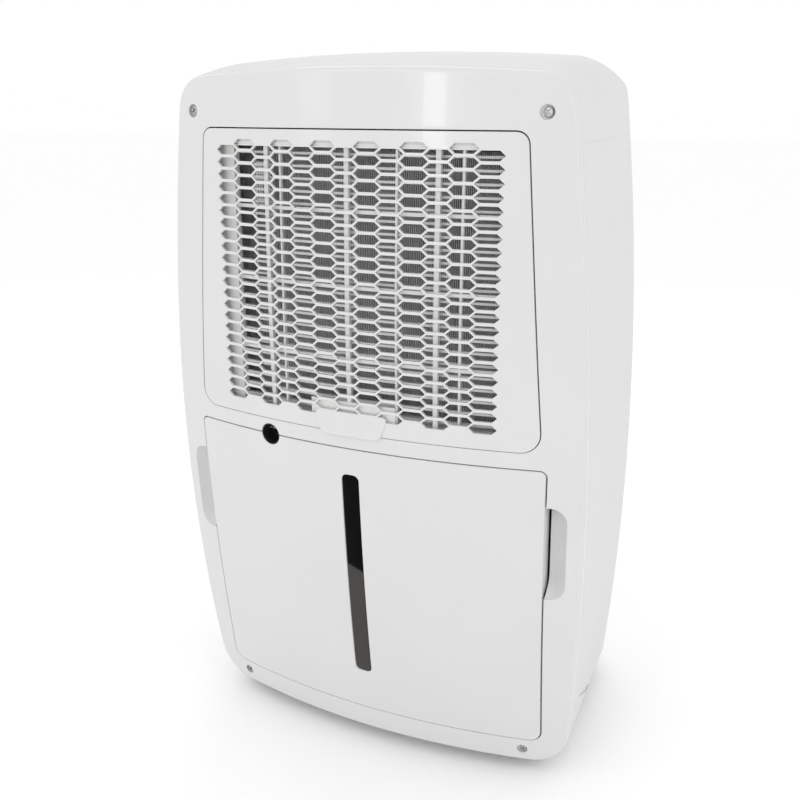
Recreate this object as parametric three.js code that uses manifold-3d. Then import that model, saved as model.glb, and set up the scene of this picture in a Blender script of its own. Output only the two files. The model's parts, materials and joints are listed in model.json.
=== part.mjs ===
// A portable compressor dehumidifier as an assembly of separate pieces.
// Millimetres, +Z up. The intake face looks along -Y, +X is to the right of someone who looks at that face,
// and the origin is on the floor under the middle of the machine.
import * as THREE from "three";
import { mergeVertices } from "three/addons/utils/BufferGeometryUtils.js";
import Module from "manifold-3d";

const wasm = await Module();
wasm.setup();

// ---------------------------------------------------------------- driving dimensions

// Whole machine
const bodyHeight = 616;
const bodyDepth = 282;
const bodyHalfWidth = 192.4;
const waistHeight = 250;
const sideBowRadius = 2357;
const crownRadius = 2365;
const sideTaper = Math.tan(THREE.MathUtils.degToRad(3));
const topCornerRadius = 32;
const bottomCornerRadius = 33;
const rearCornerRadius = 45;
const rearTopRounding = 0.6;
const skirtHeight = 13.4;
const shellWall = 2.5;
const fitGap = 0.3;

// Domed top, which rises from the face's top edge to a crest and falls again to the back
const domeRise = 17.3;
const crestDepth = 115;
const rearDomeRadius = 650;
const topSeamDrop = 70;
const topSeamSlope = 0.024;

// Bulged face, whose lower part leans back
const bulgeRadius = 612;
const leanStartHeight = 440;
const lowerLeanRadius = 2200;
const upperLeanRadius = 9700;
const faceSideDepth = 6;
const seamWidth = 1.2;
const tongueWall = 2;
const tongueDepth = 14;

// Panel screws
const screwWellRadius = 6;
const screwWellDepth = 4;
const screwBossRadius = 8;
const screwShankRadius = 2;
const screwHeadHeight = 2.6;
const screwTabDepth = 8;
const screwTabHalfHeight = 7;
const screwTabLength = 48;
const topScrewFromSide = 41.5;
const topScrewDrop = 30.4;
const topScrewHeadRadius = 4.6;
const bottomScrewFromSide = 47.8;
const bottomScrewRise = 13.5;
const bottomScrewHeadRadius = 3.8;

// Filter door with its hexagonal grille
const doorAboveBucket = 14.7;
const doorTopDrop = 43.8;
const doorTopFromSide = 53.5;
const doorBottomFromSide = 34.8;
const doorTopCorner = 9;
const doorBottomCorner = 15;
const doorWall = 2.5;
const doorRimDepth = 7;
const doorSeam = 1;
const doorLedge = 6;
const doorLedgeWall = 2.4;
const grilleColumns = 13;
const columnPitch = 19.03;
const grilleMargin = 11.8;
const rowPitch = 26.84;
const hexWidth = 22;
const hexFlat = 14;
const hexRib = 2.6;
const tabHalfWidth = 34;
const tabOverhang = 3.7;
const tabHeight = 21;
const tabProud = 3;
const tabLift = 0.6;
const tabCorner = 6;
const tabNeckInset = 3;

// Filter screen behind the grille
const screenThickness = 2.4;
const screenFrameWidth = 6;
const screenRibWidth = 2.4;
const screenBars = 3;
const screenRails = 4;

// Water bucket
const bucketTop = 302;
const bucketBottom = 38;
const bucketTopFromSide = 30.5;
const bucketBottomFromSide = 32.2;
const bucketTopCorner = 5;
const bucketBottomCorner = 10;
const bucketFrontWall = 3;
const bucketRingInset = 10;
const bucketRingDepth = 16;
const bucketSeam = 0.8;
const bucketCollarDepth = 15;
const tankFromSide = 42.4;
const tankWall = 2.2;
const tankTopDrop = 26;
const tankBehindGap = 5;
const tankCorner = 12;
const tankRim = 1.4;
const tankRimHeight = 3;
const lidThickness = 3;
const lidLipDepth = 6;
const lidLipWall = 2;
const lidDripRadius = 10;
const windowHeight = 201.1;
const windowTopDrop = 20.4;
const windowWidth = 14;
const windowCorner = 5;
const windowRecess = 1;
const windowThickness = 1.8;
const gripHeight = 82.9;
const gripTopDrop = 30.8;
const gripFromSide = 13.8;
const gripCorner = 13;
const gripDepth = 18;
const gripTankGap = 3;

// Float that rises with the water, and the switch that feels the bucket
const floatFromTankSide = 50;
const floatFromTankBack = 49;
const floatPivotDrop = 13;
const floatPinRadius = 2;
const floatPinHalfLength = 10.5;
const floatEarOffset = 9;
const floatEarHalfWall = 1.5;
const floatEarReach = 5;
const floatArm = { halfWidth: 6, front: 3, back: 32, halfHeight: 2.5 };
const floatBlock = { halfWidth: 20, front: 16, back: 36, bottom: 30, top: 1 };
const switchFromTankSide = 20;
const switchDrop = 62;
const switchBody = { halfWidth: 12, halfHeight: 9, depth: 15.7 };
const switchBoreDepth = 10;
const plungerRadius = 3;
const plungerEngagement = 5;

// Hose outlet on the seam above the bucket
const outletX = -79.3;
const outletRadius = 9.5;
const spigotRadius = 5.5;
const spigotBore = 3.5;
const spigotRecess = 11;
const spigotRise = 1;
const spigotBead = { height: 0.8, start: 2, width: 2 };

// Base pan and casters
const deckHeight = 41;
const deckWall = 3;
const panRibs = [-45, 0, 45];
const panRibHalfWall = 2;
const panRibReach = 18;
const wheelRadius = 14;
const wheelWidth = 11;
const wheelSideGap = 0.6;
const wheelTopGap = 1.5;
const casterTrail = 8;
const casterSwingGap = 3;
const forkCheek = 2;
const forkPlate = 3.2;
const forkPlateRadius = 12;
const forkShoulder = 7;
const forkToe = 4;
const forkAxleDrop = 4;
const stemRadius = 4;
const casterBossRadius = 8;
const axleRadius = 2;
const frontCasterFromSide = 67.4;
const frontCasterDepth = 103;
const rearCasterFromSide = 72.4;
const rearCasterFromBack = 36;

// Shelf and wall that part the bucket bay from the machinery
const shelfDrop = 9;
const shelfWall = 3;
const bayWallFromBack = 117;
const bayWall = 2.5;
const pipeHoleGap = 2;
const dripHoleRadius = 6;
const dripDepth = 81;

// Cooling circuit
const coilFromSide = 62.4;
const coilTopDrop = 14.9;
const coilPasses = 4;
const lowestPassRise = 28;
const highestPassDrop = 18;
const returnBendReach = 15;
const coilPipeOverhang = 3;
const coilPipeRadius = 3.5;
const coilHoleRadius = 4.1;
const evaporatorDepth = 41;
const evaporatorThickness = 24;
const coilGap = 6;
const condenserThickness = 28;
const trayPastCoil = 10;
const trayFrontMargin = 5;
const trayBackMargin = 4;
const trayHeight = 22;
const trayWall = 2;
const refrigerantPipeRadius = 4;
const capillaryRadius = 2;
const pipeOverhead = 24;
const capillaryLoopReach = 9;
const capillaryBend = 4;
const dischargeBend = 3;
const dischargeEndBend = 8;
const suctionBend = 9;
const dischargeRiser = { fromSide: 36.6, fromBack: 93 };
const suctionRiser = { fromSide: 18.6, fromBack: 79 };

// Compressor on rubber feet, with its suction bottle
const compressorX = 62;
const compressorFromBack = 60;
const compressorRadius = 42;
const compressorClearance = 21;
const compressorLength = 176;
const compressorFootSpots = [[58, 0], [-36, 41], [-36, -41]];
const compressorFootPad = 12;
const compressorFootWall = 3;
const compressorFootHole = 5;
const terminalCover = { halfWidth: 12, reach: 6, root: 8, bottom: 60, top: 92 };
const bottleX = -10;
const bottleRadius = 17;
const bottleRise = 30;
const bottleLength = 113;
const bottleElbowDrop = 12;
const bottleElbowRadius = 4;
const bottleElbowBend = 8;
const bottleElbowBite = 6;
const strapHalfWidth = 8;
const strapHalfHeight = 6;
const strapBite = 3;
const grommetRadius = 8;
const grommetNeckRadius = 4.4;
const grommetLip = 1.2;
const footStudRadius = 2.5;
const footStudRise = 6;
const footNutRadius = 6;
const footNutHeight = 4;

// Fan
const ductHalfWidth = 112;
const ductAboveSeam = 14;
const ductBehindTray = 6;
const ductBackGap = 10;
const ductWall = 2.5;
const inletRadius = 72;
const fanRadius = 92;
const fanWidth = 46;
const fanInletGap = 4;
const fanPlateWall = 3;
const fanBlades = 10;
const fanBladeWall = 1.6;
const fanHubRadius = 13;
const fanHubLength = 26;
const fanShaftRadius = 4;
const fanShaftStart = 14;
const fanNutRadius = 8;
const fanNutHeight = 6;
const motorRadius = 40;
const motorLength = 48;
const motorGap = 6;
const motorNose = { radius: 12, length: 3 };
const bracketHalfWidth = 26;
const bracketWall = 3;
const bracketLip = 18;

// Exhaust grille in the back
const exhaustHalfWidth = 100;
const exhaustAboveShelf = 46;
const exhaustBelowSeam = 38.8;
const exhaustCorner = 8;
const exhaustSlats = 7;
const exhaustSlatWall = 1.8;
const exhaustSlatDepth = 10;
const exhaustSlatTilt = 0.5;
const exhaustFrame = 7;
const exhaustThickness = 6;
const exhaustPostHalfWidth = 2;
const backRecess = 0.2;

// Electrical pieces
const electricBox = { fromSide: 35.4, pastDuct: 7, behindDuctFront: 12, depth: 90, height: 124 };
const capacitor = { fromSide: 80.4, fromBack: 57, radius: 20, height: 84, bevel: 3 };
const inletBush = { x: -98, z: 66, radius: 8, bore: 4.2, flange: 3 };

// Controls on the dome
const controlDepth = 188;
const controlWidth = 200;
const controlLength = 64;
const controlCorner = 8;
const controlRecess = 3.2;
const controlThickness = 6.8;
const controlFlange = 6;
const controlFlangeWall = 2;
const controlPost = { radius: 3, x: 92, y: 24 };
const buttonRadius = 7;
const buttonProud = 1;
const buttonTravel = 1.2;
const buttonFlange = 1.5;
const buttonFlangeWall = 1.2;
const buttonBevel = 0.6;
const buttonPlaces = [-80, -56, -32, 56, 80];
const displayX = 12;
const displayWidth = 44;
const displayLength = 22;
const displayCorner = 2;
const displayDepth = 2;
const boardThickness = 1.6;
const boardDrop = 3.8;
const boardMargin = 4;
const boardSwitchHalf = 3;

// Notch low on the right side
const notch = { depth: 138, z: 48, length: 72, height: 6, cut: 1.6, slope: 0.5 };

// Facets
const cornerSteps = 3;
const sideSteps = 5;
const crownSteps = 5;
const roundSides = 14;
const smallSides = 8;
const pipeSides = 6;
const buttonSides = 12;
const wheelSides = 18;
const fanSides = 18;
const faceColumns = 8;
const faceRows = 6;

// How far cutting shapes run past what they cut, and how far joined shapes run into each other
const overshoot = 20;
const bite = 1;

// ---------------------------------------------------------------- derived places

// Half the machine's width at a height: its sides bow outward at the waist.
function halfWidthAt(z) {
  return bodyHalfWidth - (z - waistHeight) ** 2 / (2 * sideBowRadius);
}

const bothSides = [-1, 1];
const faceFront = -bodyDepth / 2;
const bodyBack = bodyDepth / 2;
const wellBehind = 1.5 * bodyDepth;
const faceTop = bodyHeight - domeRise;
const topSeamHeight = bodyHeight - topSeamDrop;
const bodySeam = faceSideDepth + seamWidth;
const frontDomeRadius = crestDepth ** 2 / (2 * domeRise);
const tongueInset = shellWall + fitGap + sideTaper * tongueDepth;
const topScrew = {
  x: bodyHalfWidth - topScrewFromSide, z: faceTop - topScrewDrop, headRadius: topScrewHeadRadius,
};
const bottomScrew = {
  x: bodyHalfWidth - bottomScrewFromSide, z: skirtHeight + bottomScrewRise, headRadius: bottomScrewHeadRadius,
};

const doorBottom = bucketTop + doorAboveBucket;
const doorTop = faceTop - doorTopDrop;
const doorTopHalfWidth = bodyHalfWidth - doorTopFromSide;
const doorBottomHalfWidth = bodyHalfWidth - doorBottomFromSide;
const grilleBottom = doorBottom + grilleMargin;
const grilleRows = Math.floor((doorTop - grilleBottom - grilleMargin + hexRib) / rowPitch);
const tabBottom = doorBottom - tabOverhang;

const bucketTopHalfWidth = bodyHalfWidth - bucketTopFromSide;
const bucketBottomHalfWidth = bodyHalfWidth - bucketBottomFromSide;
const windowTop = bucketTop - windowTopDrop;
const windowBottom = windowTop - windowHeight;
const gripOuter = bodyHalfWidth - gripFromSide;
const gripTop = bucketTop - gripTopDrop;
const gripBottom = gripTop - gripHeight;
const outletZ = bucketTop;
const spigotZ = outletZ + spigotRise;
const bayWallY = bodyBack - bayWallFromBack;
const bayWallBack = bayWallY + bayWall;
const tankHalfWidth = bodyHalfWidth - tankFromSide;
const tankFront = bucketRingDepth + fitGap;
const surroundFront = shellWall + fitGap;
const tankBackY = bayWallY - tankBehindGap;
const tankBottom = deckHeight + fitGap;
const tankTop = bucketTop - tankTopDrop;
const lidBottom = tankTop + fitGap;
const floatPivot = {
  x: floatFromTankSide - tankHalfWidth, y: tankBackY - floatFromTankBack, z: tankTop - floatPivotDrop,
};
const switchPlace = { x: switchFromTankSide - tankHalfWidth, z: bucketTop - switchDrop };

const shelfHeight = bucketTop - shelfDrop;
const shelfTop = shelfHeight + shelfWall;
const shelfSeat = shelfTop + fitGap;
const trayFloor = shelfSeat + trayWall;
const coilBottom = trayFloor + fitGap;
const coilTop = doorTop - coilTopDrop;
const coilHalfWidth = bodyHalfWidth - coilFromSide;
const trayHalfWidth = coilHalfWidth + trayPastCoil;
const evaporatorFront = faceFront + evaporatorDepth;
const condenserFront = evaporatorFront + evaporatorThickness + coilGap;
const trayFront = evaporatorFront - trayFrontMargin;
const trayBack = condenserFront + condenserThickness + trayBackMargin;
const dripY = faceFront + dripDepth;
const coilEndX = -coilHalfWidth - coilPipeOverhang - fitGap;
const [dischargeRise, suctionRise] = [dischargeRiser, suctionRiser].map(({ fromSide, fromBack }) => ({
  x: fromSide - halfWidthAt(coilTop), y: bodyBack - fromBack,
}));

const compressorY = bodyBack - compressorFromBack;
const compressorBottom = deckHeight + compressorClearance;
const compressorTop = compressorBottom + compressorLength;
const footPlateBottom = compressorBottom - compressorFootWall;
const bottleBottom = compressorBottom + bottleRise;
const bottleTop = bottleBottom + bottleLength;

const ductFront = trayBack + ductBehindTray;
const ductBack = bodyBack - shellWall - ductBackGap;
const ductTop = topSeamHeight + ductAboveSeam;
const fanZ = (shelfSeat + ductTop) / 2;
const fanFront = ductFront + ductWall + fanInletGap;
const motorFront = fanFront + fanWidth + motorGap;
const motorBackY = motorFront + motorLength;
const exhaustBottom = shelfTop + exhaustAboveShelf;
const exhaustTop = topSeamHeight + topSeamSlope * bodyDepth - exhaustBelowSeam;
const exhaustHeight = exhaustTop - exhaustBottom;

const frontCaster = { x: bodyHalfWidth - frontCasterFromSide, y: faceFront + frontCasterDepth };
const rearCaster = { x: bodyHalfWidth - rearCasterFromSide, y: bodyBack - rearCasterFromBack };
const casterBossBottom = 2 * wheelRadius + wheelTopGap + forkPlate + fitGap;

const fasciaTop = -controlRecess;
const fasciaBottom = fasciaTop - controlThickness;
const boardTop = fasciaBottom - boardDrop;
const buttonNames = ["power", "fan_speed", "timer", "drier", "wetter"];

// ---------------------------------------------------------------- solids from three.js geometry

// A closed three.js geometry as a manifold solid, with its shared corners merged.
function solid(geometry) {
  const bare = geometry.index ? geometry.toNonIndexed() : geometry.clone();
  const positions = new THREE.BufferGeometry().setAttribute("position", bare.getAttribute("position"));
  const merged = mergeVertices(positions, 1e-4);
  const mesh = new wasm.Mesh({
    numProp: 3,
    vertProperties: merged.attributes.position.array,
    triVerts: new Uint32Array(merged.index.array),
  });
  return new wasm.Manifold(mesh);
}

// A manifold solid as a flat-shaded three.js geometry.
function geometryOf(manifold) {
  const { vertProperties, triVerts } = manifold.getMesh();
  const indexed = new THREE.BufferGeometry();
  indexed.setAttribute("position", new THREE.BufferAttribute(vertProperties, 3));
  indexed.setIndex(new THREE.BufferAttribute(triVerts, 1));
  const flat = indexed.toNonIndexed();
  flat.computeVertexNormals();
  return flat;
}

const join = (...solids) => solids.reduce((all, next) => all.add(next));
const cut = (base, ...tools) => tools.reduce((left, tool) => left.subtract(tool), base);
const common = (...solids) => solids.reduce((all, next) => all.intersect(next));

function box(x0, x1, y0, y1, z0, z1) {
  const geometry = new THREE.BoxGeometry(x1 - x0, y1 - y0, z1 - z0);
  geometry.translate((x0 + x1) / 2, (y0 + y1) / 2, (z0 + z1) / 2);
  return solid(geometry);
}

// A round bar between two heights on its axis, "x", "y" or "z", through the point given by its other two
// coordinates.
function rod(axis, radius, from, to, first, second, sides = smallSides) {
  const geometry = new THREE.CylinderGeometry(radius, radius, to - from, sides);
  geometry.translate(0, (from + to) / 2, 0);
  if (axis === "x") geometry.rotateZ(-Math.PI / 2).translate(0, first, second);
  if (axis === "y") geometry.translate(first, 0, second);
  if (axis === "z") geometry.rotateX(Math.PI / 2).translate(first, second, 0);
  return solid(geometry);
}

// A turned piece: a closed profile of [radius, height] points spun about Z.
function turned(profile, sides = roundSides) {
  const points = profile.map(([radius, height]) => new THREE.Vector2(radius, height));
  return solid(new THREE.LatheGeometry(points, sides).rotateX(Math.PI / 2));
}

// A flat shape in X and Z, extruded along Y.
function prism(points, y0, y1, holes = []) {
  const shape = new THREE.Shape(points);
  shape.holes = holes.map((hole) => new THREE.Path(hole));
  const geometry = new THREE.ExtrudeGeometry(shape, { depth: y1 - y0, bevelEnabled: false });
  geometry.rotateX(Math.PI / 2).translate(0, y1, 0);
  return solid(geometry);
}

// A flat shape in X and Y, extruded along Z.
function slabOf(points, z0, z1) {
  const options = { depth: z1 - z0, bevelEnabled: false };
  const geometry = new THREE.ExtrudeGeometry(new THREE.Shape(points), options);
  geometry.translate(0, 0, z0);
  return solid(geometry);
}

// The points of a rounded corner between the lines to the points before and after it.
function roundedCorner(before, corner, after, radius, steps = cornerSteps) {
  const toBefore = before.clone().sub(corner).normalize();
  const toAfter = after.clone().sub(corner).normalize();
  const halfAngle = Math.acos(THREE.MathUtils.clamp(toBefore.dot(toAfter), -1, 1)) / 2;
  const reach = radius / Math.tan(halfAngle);
  const middle = toBefore.clone().add(toAfter).normalize();
  const centre = corner.clone().addScaledVector(middle, radius / Math.sin(halfAngle));
  const start = corner.clone().addScaledVector(toBefore, reach).sub(centre);
  const end = corner.clone().addScaledVector(toAfter, reach).sub(centre);
  const sweep = Math.atan2(start.cross(end), start.dot(end));
  return Array.from({ length: steps + 1 }, (_, step) => {
    const turn = start.clone().rotateAround(new THREE.Vector2(), (sweep * step) / steps);
    return turn.add(centre);
  });
}

// A polygon with a radius at each corner, given as [x, z, radius] rows in anticlockwise order.
function roundedPolygon(rows, steps = cornerSteps) {
  const points = rows.map(([x, z]) => new THREE.Vector2(x, z));
  return rows.flatMap(([, , radius], index) => {
    const before = points[(index + rows.length - 1) % rows.length];
    const after = points[(index + 1) % rows.length];
    return roundedCorner(before, points[index], after, Math.max(radius, 0.5), steps);
  });
}

function roundedBox(x0, x1, z0, z1, radius, steps = cornerSteps) {
  return roundedPolygon([[x0, z0, radius], [x1, z0, radius], [x1, z1, radius], [x0, z1, radius]], steps);
}

// A round section with few sides, for the pipes.
function pipeSection(radius) {
  return new THREE.Shape(Array.from({ length: pipeSides }, (_, side) => {
    const angle = (2 * Math.PI * side) / pipeSides;
    return new THREE.Vector2(radius * Math.cos(angle), radius * Math.sin(angle));
  }));
}

// A bent pipe: a round section along straight runs with rounded bends.
function pipe(points, radius, bend) {
  const path = new THREE.CurvePath();
  const corners = points.map(([x, y, z]) => new THREE.Vector3(x, y, z));
  let from = corners[0];
  for (let index = 1; index < corners.length; index += 1) {
    const corner = corners[index];
    if (index === corners.length - 1) {
      path.add(new THREE.LineCurve3(from, corner));
      break;
    }
    const entry = corner.clone().add(corners[index - 1].clone().sub(corner).setLength(bend));
    const exit = corner.clone().add(corners[index + 1].clone().sub(corner).setLength(bend));
    path.add(new THREE.LineCurve3(from, entry));
    path.add(new THREE.QuadraticBezierCurve3(entry, corner, exit));
    from = exit;
  }
  const stepLength = 6 * radius;
  const steps = Math.ceil(path.getLength() / stepLength);
  const options = { steps, extrudePath: path, bevelEnabled: false };
  return solid(new THREE.ExtrudeGeometry(pipeSection(radius), options));
}

// ---------------------------------------------------------------- the face and the body that follows it

// How far a point of the face lies behind the face's front-most point.
function faceOffset(x, z) {
  const drop = leanStartHeight - z;
  const radius = drop > 0 ? lowerLeanRadius : upperLeanRadius;
  return drop ** 2 / (2 * radius) + x ** 2 / (2 * bulgeRadius);
}

const faceY = (x, z) => faceFront + faceOffset(x, z);

// The layer between two depths behind the face.
function layer(near, far) {
  const reach = bodyHalfWidth + overshoot;
  const height = bodyHeight + 2 * overshoot;
  const geometry = new THREE.BoxGeometry(2 * reach, 1, height, faceColumns, 1, faceRows);
  geometry.translate(0, 0, bodyHeight / 2);
  const points = geometry.attributes.position;
  for (let index = 0; index < points.count; index += 1) {
    const behind = points.getY(index) < 0 ? near : far;
    points.setY(index, faceY(points.getX(index), points.getZ(index)) + behind);
  }
  return solid(geometry);
}

// The machine's outline in X and Z, set in by an amount, below a given top.
function bodyOutline(inset, top, bottom) {
  const sideX = (z) => halfWidthAt(z) - inset;
  const crownZ = (x) => top - x ** 2 / (2 * crownRadius);
  const smallestRadius = 6;
  const topRadius = Math.max(topCornerRadius - inset / 2, smallestRadius);
  const bottomRadius = Math.max(bottomCornerRadius - inset / 2, smallestRadius);
  const cornerX = sideX(top);
  const cornerZ = crownZ(cornerX);
  const foot = bottom + 1.25 * bottomRadius;
  const shoulder = cornerZ - 1.25 * topRadius;
  const neck = cornerX - 1.25 * topRadius;
  const side = Array.from({ length: sideSteps }, (_, step) => {
    const z = THREE.MathUtils.lerp(foot, shoulder, step / (sideSteps - 1));
    return new THREE.Vector2(sideX(z), z);
  });
  const crown = Array.from({ length: crownSteps }, (_, step) => {
    const x = THREE.MathUtils.lerp(neck, -neck, step / (crownSteps - 1));
    return new THREE.Vector2(x, crownZ(x));
  });
  const bottomCorner = new THREE.Vector2(sideX(bottom), bottom);
  const topCorner = new THREE.Vector2(cornerX, cornerZ);
  const rightFoot = roundedCorner(new THREE.Vector2(0, bottom), bottomCorner, side[0], bottomRadius);
  const rightShoulder = roundedCorner(side[sideSteps - 1], topCorner, crown[0], topRadius);
  const mirrored = (points) => points.map((point) => new THREE.Vector2(-point.x, point.y)).reverse();
  return [
    ...rightFoot, ...side, ...rightShoulder, ...crown,
    ...mirrored(rightShoulder), ...mirrored(side), ...mirrored(rightFoot),
  ];
}

// A closed skin over a row of rings that have the same number of points.
function loft(rings) {
  const count = rings[0].length;
  const positions = rings.flat().flatMap((point) => [point.x, point.y, point.z]);
  const faces = [];
  for (let ring = 0; ring + 1 < rings.length; ring += 1) {
    for (let point = 0; point < count; point += 1) {
      const next = (point + 1) % count;
      const [a, b] = [ring * count + point, ring * count + next];
      const [c, d] = [a + count, b + count];
      faces.push(a, c, b, b, c, d);
    }
  }
  const flat = rings[0].map((point) => new THREE.Vector2(point.x, point.z));
  const last = (rings.length - 1) * count;
  THREE.ShapeUtils.triangulateShape(flat, []).forEach(([a, b, c]) => {
    faces.push(a, b, c, last + a, last + c, last + b);
  });
  const geometry = new THREE.BufferGeometry();
  geometry.setAttribute("position", new THREE.Float32BufferAttribute(positions, 3));
  geometry.setIndex(faces);
  return solid(geometry);
}

// The height of the dome's middle at a depth behind the face.
function domeHeight(depth) {
  const radius = depth < crestDepth ? frontDomeRadius : rearDomeRadius;
  return bodyHeight - (depth - crestDepth) ** 2 / (2 * radius);
}

// The whole body, set in all round, from a depth behind the face to the back. Its rings follow the face's
// bulge at the seam and flatten out towards the back.
function bodyBlank(inset, fromDepth) {
  const back = bodyDepth - inset;
  const radius = rearCornerRadius - inset;
  const straightEnd = back - radius;
  const ringParts = [0, 0.15, 0.35, 0.6, 0.8, 1];
  const straight = ringParts.map((part) => THREE.MathUtils.lerp(fromDepth, straightEnd, part));
  const rounded = [0.5, 0.86, 1].map((part) => straightEnd + radius * part);
  const rings = [...straight, ...rounded].map((depth) => {
    const past = Math.max(depth - straightEnd, 0);
    const rounding = radius - Math.sqrt(Math.max(radius ** 2 - past ** 2, 0));
    const sideInset = inset + sideTaper * depth + rounding;
    const top = domeHeight(depth) - inset - rearTopRounding * rounding;
    return bodyOutline(sideInset, top, skirtHeight + inset).map(({ x, y: z }) => {
      const follow = faceOffset(x, z) * Math.min((bodyDepth - depth) / (bodyDepth - bodySeam), 1);
      return new THREE.Vector3(x, faceFront + depth + follow, z);
    });
  });
  return loft(rings);
}

// ---------------------------------------------------------------- outlines on the face

function doorOutline(grow) {
  const slope = (doorBottomHalfWidth - doorTopHalfWidth) / (doorTop - doorBottom);
  const [low, high] = [doorBottom - grow, doorTop + grow];
  const lowX = doorBottomHalfWidth + grow + slope * grow;
  const highX = doorTopHalfWidth + grow - slope * grow;
  return roundedPolygon([
    [-lowX, low, doorBottomCorner + grow],
    [lowX, low, doorBottomCorner + grow],
    [highX, high, doorTopCorner + grow],
    [-highX, high, doorTopCorner + grow],
  ]);
}

function bucketOutline(grow) {
  return roundedPolygon([
    [-bucketBottomHalfWidth - grow, bucketBottom - grow, bucketBottomCorner + grow],
    [bucketBottomHalfWidth + grow, bucketBottom - grow, bucketBottomCorner + grow],
    [bucketTopHalfWidth + grow, bucketTop + grow, bucketTopCorner + grow],
    [-bucketTopHalfWidth - grow, bucketTop + grow, bucketTopCorner + grow],
  ]);
}

// ---------------------------------------------------------------- casing

const wideY = [faceFront - 3 * overshoot, bodyBack + 3 * overshoot];
const throughBody = (points) => prism(points, ...wideY);
const ringOf = (outer, inner) => cut(throughBody(outer), throughBody(inner));
const outletHole = rod("y", outletRadius, faceFront - overshoot, trayFront, outletX, outletZ, roundSides);

// The finger recess beside the bucket, on one side of the machine.
function gripOutline(side, grow) {
  const [near, far] = [tankHalfWidth + gripTankGap, gripOuter + grow];
  const innerCorner = 1;
  const points = roundedPolygon([
    [near, gripBottom - grow, innerCorner],
    [far, gripBottom - grow, gripCorner],
    [far, gripTop + grow, gripCorner],
    [near, gripTop + grow, innerCorner],
  ]);
  return side > 0 ? points : points.map(({ x, y }) => new THREE.Vector2(-x, y)).reverse();
}

function frontPanel() {
  const outline = (inset) => bodyOutline(inset, faceTop - inset, skirtHeight + inset);
  const dish = cut(
    common(throughBody(outline(0)), layer(0, faceSideDepth)),
    common(throughBody(outline(shellWall)), layer(shellWall, faceSideDepth + bite)),
  );
  const tongue = common(
    ringOf(outline(tongueInset), outline(tongueInset + tongueWall)),
    layer(shellWall / 2, tongueDepth),
  );
  const doorCollarDepth = doorRimDepth + 2 * fitGap + doorLedgeWall;
  const doorCollar = common(
    ringOf(doorOutline(doorSeam + shellWall), doorOutline(-doorLedge)),
    layer(shellWall / 2, doorCollarDepth),
  );
  const screws = [topScrew, bottomScrew].flatMap(({ x, z }) => [{ x, z }, { x: -x, z }]);
  const bosses = screws.map(({ x, z }) => common(
    rod("y", screwBossRadius, ...wideY, x, z),
    layer(shellWall / 2, tongueDepth),
  ));
  const wells = screws.map(({ x, z }) => {
    const y = faceY(x, z);
    return join(
      rod("y", screwWellRadius, y - overshoot, y + screwWellDepth, x, z, roundSides),
      rod("y", screwShankRadius + fitGap, y, y + 2 * tongueDepth, x, z),
    );
  });
  const surroundSpace = common(
    throughBody(bucketOutline(bucketSeam + shellWall + fitGap)), layer(surroundFront - fitGap, wellBehind),
  );
  return cut(
    join(dish, tongue, doorCollar, ...bosses),
    throughBody(bucketOutline(bucketSeam)),
    surroundSpace,
    ...bothSides.map((side) => throughBody(gripOutline(side, 0))),
    common(throughBody(doorOutline(doorSeam)), layer(-overshoot, doorRimDepth + 2 * fitGap)),
    throughBody(doorOutline(-doorLedge)),
    ...wells,
    outletHole,
  );
}

// The moulding behind the panel that frames the bucket and forms the two finger pockets beside it.
function bucketSurround() {
  const collar = common(
    ringOf(bucketOutline(bucketSeam + shellWall), bucketOutline(bucketSeam)),
    layer(surroundFront, bucketCollarDepth),
  );
  const besideBucket = common(throughBody(bucketOutline(bucketSeam)), layer(-overshoot, gripDepth));
  const pockets = bothSides.map((side) => common(
    throughBody(gripOutline(side, shellWall)),
    layer(surroundFront, gripDepth + shellWall),
  ));
  const pocketSpaces = bothSides.map((side) => common(
    throughBody(gripOutline(side, 0)),
    layer(-overshoot, gripDepth),
  ));
  const clearPockets = pockets.map((pocket) => cut(pocket, besideBucket));
  return cut(join(collar, ...clearPockets), ...pocketSpaces, outletHole);
}

// Everything above the seam of the top cover, or above a plane offset from it.
function aboveSeam(offset) {
  const reach = 2 * bodyDepth;
  const geometry = new THREE.BoxGeometry(4 * bodyHalfWidth, 2 * reach, reach);
  geometry.translate(0, 0, reach / 2);
  geometry.rotateX(Math.atan(topSeamSlope));
  geometry.translate(0, faceFront, topSeamHeight + offset);
  return solid(geometry);
}

function screwTab({ x, z }, side) {
  const from = side * (x - screwBossRadius);
  const to = side * (x - screwBossRadius + screwTabLength);
  const block = box(
    Math.min(from, to), Math.max(from, to), ...wideY, z - screwTabHalfHeight, z + screwTabHalfHeight,
  );
  const seat = common(block, layer(tongueDepth + fitGap, tongueDepth + fitGap + screwTabDepth));
  const hole = rod("y", screwShankRadius + fitGap, ...wideY, side * x, z);
  return cut(seat, hole);
}

const bodyOuter = common(bodyBlank(0, -overshoot / 2), layer(bodySeam, wellBehind));
const bodyInner = bodyBlank(shellWall, -overshoot);
const bodyShell = cut(bodyOuter, bodyInner);
const tabRoom = bodyBlank(shellWall / 2, -overshoot);

function exhaustOpening(grow) {
  return roundedBox(
    -exhaustHalfWidth - grow, exhaustHalfWidth + grow,
    exhaustBottom - grow, exhaustTop + grow, exhaustCorner,
  );
}

function fasciaPlan(grow) {
  return roundedBox(
    -controlWidth / 2 - grow, controlWidth / 2 + grow,
    -controlLength / 2 - grow, controlLength / 2 + grow, controlCorner,
  );
}

function controlFrame() {
  const group = new THREE.Group();
  const slope = Math.atan((controlDepth - crestDepth) / rearDomeRadius);
  group.position.set(0, faceFront + controlDepth, domeHeight(controlDepth));
  group.rotation.x = -slope;
  group.updateMatrix();
  return group;
}

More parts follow.
